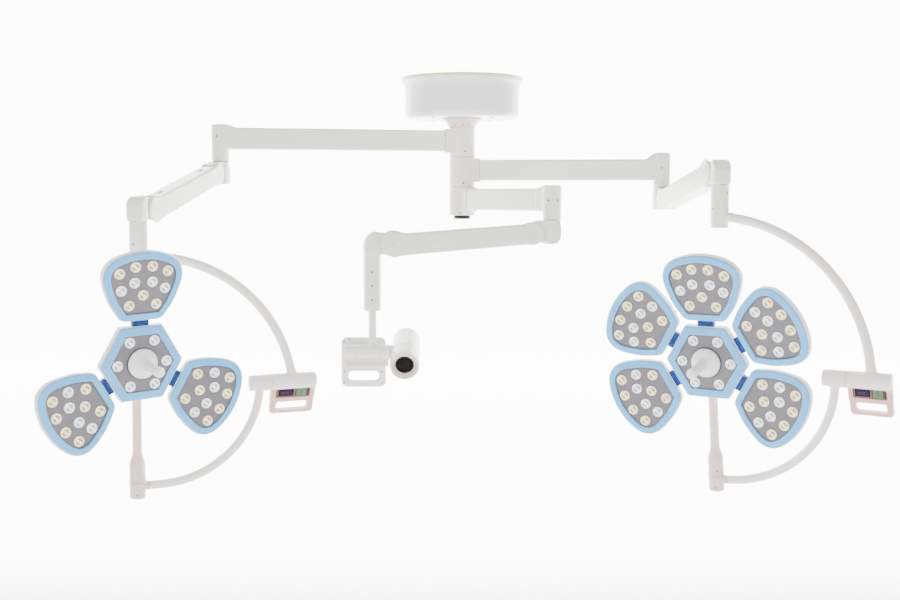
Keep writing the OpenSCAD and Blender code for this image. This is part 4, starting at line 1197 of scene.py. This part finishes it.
    # handle: dome, waist, ribbed grip with a rolled end
    g = Geo()
    hp = [(0, 0.4), (46.0, 0.4), (47.4, 2.0, 1), (47.4, 5.0, 1.5), (45.6, 10.5, 3), (40.5, 16.0, 6), (31.0, 21.0, 8), (22.5, 26.0, 6), (18.2, 33.0, 8),
          (16.6, 44, 8), (14.8, 72, 20), (14.4, 98, 10), (15.4, 108, 4), (16.1, 110.5, 1), (16.1, 112.2, 0.6), (15.3, 113.2, 0.6), (16.6, 116.5, 2), (16.4, 126, 3),
          (13.8, 132.6, 3), (6, 134.0, 3), (0, 134.0)]
    g.put(FC, *lathe_solid(hp, 80, 4), 0)
    for k in range(3):
        c, s = math.cos(math.radians(120 * k + 20)), math.sin(math.radians(120 * k + 20))
        g.put(FC @ rot("z", 120 * k + 20) @ mov(40.6, 0, 14.4) @ rot("y", 46), *rplate(5, 2.2, 1, -1, 1.2, 0.4), 0)
    g.make(side + "_handle_sleeve", side + "_handle", ["handle"], side + "_handle", 40)

    for k, seat in enumerate(SEATS[i]):
        pname = side + "_petal_" + PETALS[i][k]
        FPt = F_petal(i, k)
        cen = np.array([0.0, 252.0])
        # moulded back shell
        spec = [(20.0, -4.8, 1), (27.4, -3.6, 1), (29.4, -4.6, 1), (30.6, -8.5, 1), (31.0, -15, 1), (30.4, -22, 1), (27.8, -29, 1), (22.0, -34.4, 1), (14.5, -38.0, 1), (6.5, -39.8, 1), (3, -40.2, 0.92),
                (3, -40.6, 0.78), (3, -41.0, 0.6), (3, -41.2, 0.4), (3, -41.3, 0.15)]
        g = Geo()
        V, F = loft(dome_loops(PETAL, spec, cen))
        g.put(FPt, V, F, 0)
        # back details: screws, vent slots and the hinge cover
        for xx, yy in ((-62, 285), (62, 285), (-34, 192), (34, 192)):
            screw(g, FPt, (xx, yy, -41.0), (0, 0, -1), 2.6, 0, 1)
        for j in range(5):
            g.put(FPt @ mov(0, 232 + 9 * j, -41.2), *rplate(46, 3.0, 1.4, -0.7, 0.9, 0.5), 0)
        g.put(FPt @ mov(0, HINGE, -18), *tube([(-9.5, 0, 0), (9.5, 0, 0)], 6.6, 28), 2)
        g.put(FPt @ mov(0, HINGE, -18), *tube([(-17.5, 0, 0), (17.5, 0, 0)], 4, 24), 2)
        g.put(FPt @ mov(0, HINGE + 9, -18), *rplate(19.5, 20, 2, -6.5, 6.5, 1.0), 2)
        g.make(pname + "_shell", pname, ["shell", "screw", "steel"], pname, 40)
        g = Geo()
        V, F = rings(PETAL, bezel_section(28.0, 5.6, 4.0, -4.0), closed=True)
        g.put(FPt, V, F, 0)
        g.make(pname + "_bezel", pname, ["bezel"], (), 50)
        g = Geo()
        V, F = loft(dome_loops(PETAL, [(5.0, -3.8, 1), (5.0, -1.8, 1), (4.6, -1.6, 1), (0, -1.6, 0.96), (0, -1.6, 0.7), (0, -1.6, 0.35)], cen))
        g.put(FPt, V, F, 0)
        # dark rings round the panel edge and each lens: painted shadow
        V, F = rings(PETAL, [(4.6, -4.2), (6.6, -4.2), (6.6, -1.2), (5.0, -0.9), (4.6, -1.5)], closed=True)
        g.put(FPt, V, F, 1)
        for x, y in PLENS:
            g.put(FPt @ mov(x, y, 0), *lathe([(16.2, -1.8), (16.2, -1.3), (17.3, -1.35), (17.6, -1.8)], 40, 1), 1)
        g.make(pname + "_light_plate", pname, ["grey", "shadow"], (), 40)
        g = Geo()
        for x, y in PLENS:
            lens(g, FPt, x, y, -42 - (seat - 90), y in WARM)
        g.make(pname + "_lenses", pname, LENS_MATS, (), 40)

        # bellows between hub and petal: a straight run of ribs, baked in place
        g = Geo()
        FR = FC @ rot("z", seat - 90)
        loops = []
        y0, y1 = 109.5, 142.0
        ribs = 5
        m = ribs * 8
        for j in range(m + 1):
            t = j / m
            y = y0 + (y1 - y0) * t
            w = 0.5 + 0.5 * math.cos(2 * math.pi * ribs * t)
            r = -2.4 * (1 - w ** 0.7)
            P2 = outline(rect(46, 16), 4.6 + r, 12)
            zt = -17.5
            dz = -math.tan(math.radians(TILT)) * max(0, y - 122) * -1
            loops.append(np.column_stack([P2[:, 0], np.full(len(P2), y), P2[:, 1] + zt]))
        V, F = loft(loops)
        g.put(FR, V, F, 0)
        o = g.make(side + "_bellows_" + PETALS[i][k], None, ["bellows"], (), 60)
        a, b = apply(FR, [(0, 114.0, -17.5), (0, 133.0, -17.5)]) * MM
        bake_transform(o)
        if k == 0:
            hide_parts(side + "_bellows")

# ------------------------------------------------------------------ camera
g = Geo()
g.put(F_CAM, *lathe_solid([(0, 18), (12.9, 18), (12.9, 236), (12.2, 245, 1), (0, 245)], 48, 2), 0)
g.put(F_CAM, *lathe([(12.6, 22), (19, 22), (17, 26, 3), (14.2, 31, 3), (12.6, 33)], 48, 3), 0)
g.make("camera_swivel_tube_turned", "camera_stem", ["camw"], "camera_swivel_tube", 40)


def f_brk(P):
    a = s_cyl(P, 24.5, -91, 59.6, 3.0, 0)
    b = s_box(P, (-91, -2, -48), (52, 24.6, -3), 4)
    c = s_box(P, (-91, -14, -30), (52, 24.6, 0), 6)
    return smin(smin(a, c, 6), b, 3)


g = Geo()
V, F = casting(f_brk, axis_grid(-92, 60, 2.0), axis_grid(-26, 26, 2.0), axis_grid(-50, 26, 2.0))
FA = np.array(F)
fz = V[FA][:, :, 2].mean(1)
fy = V[FA][:, :, 1].mean(1)
# faces low on the bracket take the beige: painted shade and warm bounce light
g.put(F_CAM, V, F, np.where((fz < -17) & (fy < 20), 1, 0))
for xx in (-55, 24):
    screw(g, F_CAM, (xx, -17.5, -17.2), (0, -0.7, -0.7), 3.0, 0, 2)
screw(g, F_CAM, (-91, 0, 0), (-1, 0, 0), 3.0, 0, 2)
g.put(F_CAM, *lathe([(12.9, 18), (17.5, 19, 1), (15.5, 23, 2), (12.9, 24.5)], 40, 2), 0)
g.make("camera_bracket_casting", "camera_stem", ["camw", "cam_knob_beige_and_shade", "screw"], "camera_bracket", 46)


def f_plate(P):
    x, y, z = P[:, 0], P[:, 1], P[:, 2]
    lowz = -118.5 - 5 * (1 - (np.clip(np.abs(x + 32) / 60, 0, 1)) ** 2)
    d = s_rect2(x, z, (-106, -121), (42, 46), 20)
    e = s_extrude(d, y, 24.8, 33.8, 3.0)
    slot_ = s_extrude(s_rect2(x, z, (-83, -98), (19, -68), 14), y, 0, 60, 1)
    return smax(e, -slot_, 3.5)


g = Geo()
V, F = casting(f_plate, axis_grid(-107, 43, 2.0), axis_grid(24, 34.5, 1.5), axis_grid(-122, 47, 2.0))
g.put(F_CAM, V, F, 0)
for xx, zz in ((-78, 38), (-96, -70), (29, -70), (-97, -107), (29, -107), (-97, 30)):
    screw(g, F_CAM, (xx, 24.8, zz), (0, -1, 0), 2.4, 0, 1)
g.make("camera_handle_plate_moulding", "camera_stem", ["camw", "screw"], "camera_handle_plate", 46)

g = Geo()
g.put(F_AXIS, *lathe_solid([(0, -100), (30, -100, 6), (39, -98.5, 6), (44.6, -91, 10), (45.4, -84), (45.6, 4, 0.5), (47.4, 5.5, 1), (48.6, 96, 4), (47.0, 103.5, 3),
                            (44, 105.6, 1.5), (42, 106, 1), (34.0, 93.5, 1.5), (31.2, 90.2, 1), (30.4, 86), (0, 86)], 96, 4), 0)
# the sloping front ring in beige: painted shade
g.put(F_AXIS, *lathe([(30.6, 88), (42.0, 105.4), (42.2, 106.2, 0.4), (41.2, 105.7, 0.3), (33, 93.3), (30.6, 90.3)], 96, 2), 1)
g.put(F_AXIS, *lathe([(46.2, 30), (48.0, 30), (48.0, 31.2, 0.3), (46.2, 31.2)], 96, 1), 2)
g.put(F_AXIS @ mov(0, 0, -100) @ rot("x", 180), *lathe([(8, -1), (8, 1.0, 0.5), (24, 1.0, 0.6), (25, -1)], 64, 2), 0)
g.put(F_CAM, *tube([(24, 0, 0), (48, 0, 0), (66, 0, 0)], 7.9, 28), 3)
g.put(F_CAM @ mov(62, 0, 0) @ rot("y", 90), *lathe_solid([(0, -1.5), (22, -1.5, 1), (24.0, 0.5, 1), (23.5, 8), (0, 8)], 56, 2), 0)
g.make("camera_body_turned", "camera_head", ["camw", "cam_knob_beige_and_shade", "seal", "steel"], "camera_body", 40)

g = Geo()
g.put(F_AXIS, *lathe([(29.6, 86.4), (29.9, 90.4, 0.5), (28.6, 91.2, 0.5), (26.2, 88.6, 0.8), (25.6, 86.4)], 80, 2), 1)
g.put(F_AXIS, *lathe_solid([(0, 86.3), (26.4, 86.3), (26.2, 87.8, 0.5), (18, 89.4, 10), (8, 90.2, 8), (0, 90.3)], 80, 4), 0)
g.make("camera_front_glass", "camera_head", ["glass", "black"], "camera_lens", 40)

g = Geo()
FK = F_AXIS @ mov(0, -45.5, 10) @ rot("x", 90)
g.put(FK, *lathe_solid([(0, 0.5), (17.4, 0.5), (17.2, 4, 1), (15.5, 8, 3), (12.5, 28, 8), (11.4, 41, 4), (8.8, 46.6, 3), (0, 47.2)], 56, 4), 0)
for k in range(10):
    g.put(FK @ rot("z", 36 * k) @ mov(13.6, 0, 18) @ rot("y", -12), *rplate(1.4, 3.0, 0.6, -9, 9, 0.5), 0)
g.make("camera_focus_knob", "camera_head", ["cam_knob_beige_and_shade"], "camera_knob", 40)


# ------------------------------------------------------------------ stage
def stage_material(name, rgb, rough):
    m = finish_material(name, rgb, rough, 0.03, 0.004, 0.6, 0.02, 60)
    return m


FLOOR_Z = -2.45
prof = [(-16.0, FLOOR_Z), (9.0, FLOOR_Z)]
for k in range(1, 25):
    q = math.pi / 2 * k / 24
    prof.append((9.0 + 6.0 * math.sin(q), FLOOR_Z + 6.0 - 6.0 * math.cos(q)))
prof.append((15.0, 16.0))
verts, faces = [], []
for y, z in prof:
    verts += [(-24.0, y, z), (24.0, y, z)]
for k in range(len(prof) - 1):
    faces.append((2 * k, 2 * k + 1, 2 * k + 3, 2 * k + 2))
me = bpy.data.meshes.new("studio_sweep")
me.from_pydata(verts, [], faces)
me.polygons.foreach_set("use_smooth", np.ones(len(me.polygons), bool))
paper = stage_material("studio_paper", (252, 252, 252), 0.95)
pb = paper.node_tree.nodes["Principled BSDF"]
pb.inputs["Emission Color"].default_value = (1, 1, 1, 1)
pn, pl_ = paper.node_tree.nodes, paper.node_tree.links
ptc = pn.new("ShaderNodeTexCoord")
psep = pn.new("ShaderNodeSeparateXYZ")
pmr = pn.new("ShaderNodeMapRange")
pmr.inputs["From Min"].default_value = 0.7
pmr.inputs["From Max"].default_value = 2.0
pmr.inputs["To Min"].default_value = 0.4
pmr.inputs["To Max"].default_value = 9.0
pl_.new(ptc.outputs["Object"], psep.inputs["Vector"])
pl_.new(psep.outputs["Y"], pmr.inputs["Value"])
pl_.new(pmr.outputs["Result"], pb.inputs["Emission Strength"])
me.materials.append(paper)
floor = bpy.data.objects.new("studio_sweep", me)
bpy.context.scene.collection.objects.link(floor)

world = bpy.data.worlds.new("studio")
bpy.context.scene.world = world
world.use_nodes = True
bg = world.node_tree.nodes["Background"]
bg.inputs["Color"].default_value = (1.0, 0.995, 0.985, 1)
bg.inputs["Strength"].default_value = 1.12


def area(name, loc, target, size, power, rgb=(1, 1, 1), size_y=None):
    d = bpy.data.lights.new(name, "AREA")
    d.energy = power
    d.color = rgb
    d.size = size
    if size_y:
        d.shape = "RECTANGLE"
        d.size_y = size_y
    o = bpy.data.objects.new(name, d)
    bpy.context.scene.collection.objects.link(o)
    o.location = loc
    o.rotation_euler = (Vector(target) - Vector(loc)).to_track_quat("-Z", "Y").to_euler()
    return o


area("key_soft", (-2.6, -3.4, 1.6), (0, -0.3, -0.6), 2.2, 84, (1.0, 0.99, 0.97))
area("fill_soft", (3.2, -3.0, 0.6), (0, -0.3, -0.7), 2.4, 26, (1.0, 0.98, 0.96))
area("low_warm", (0.2, -2.6, -2.3), (0, -0.4, -0.8), 2.6, 18, (1.0, 0.80, 0.68))

cam_data = bpy.data.cameras.new("view")
cam_data.lens = 46.84
cam_data.sensor_width = 36
cam = bpy.data.objects.new("view", cam_data)
bpy.context.scene.collection.objects.link(cam)
cam.location = (-0.045, -4.40, -0.4415)
cam.rotation_euler = (math.radians(85), 0, 0)
bpy.context.scene.camera = cam
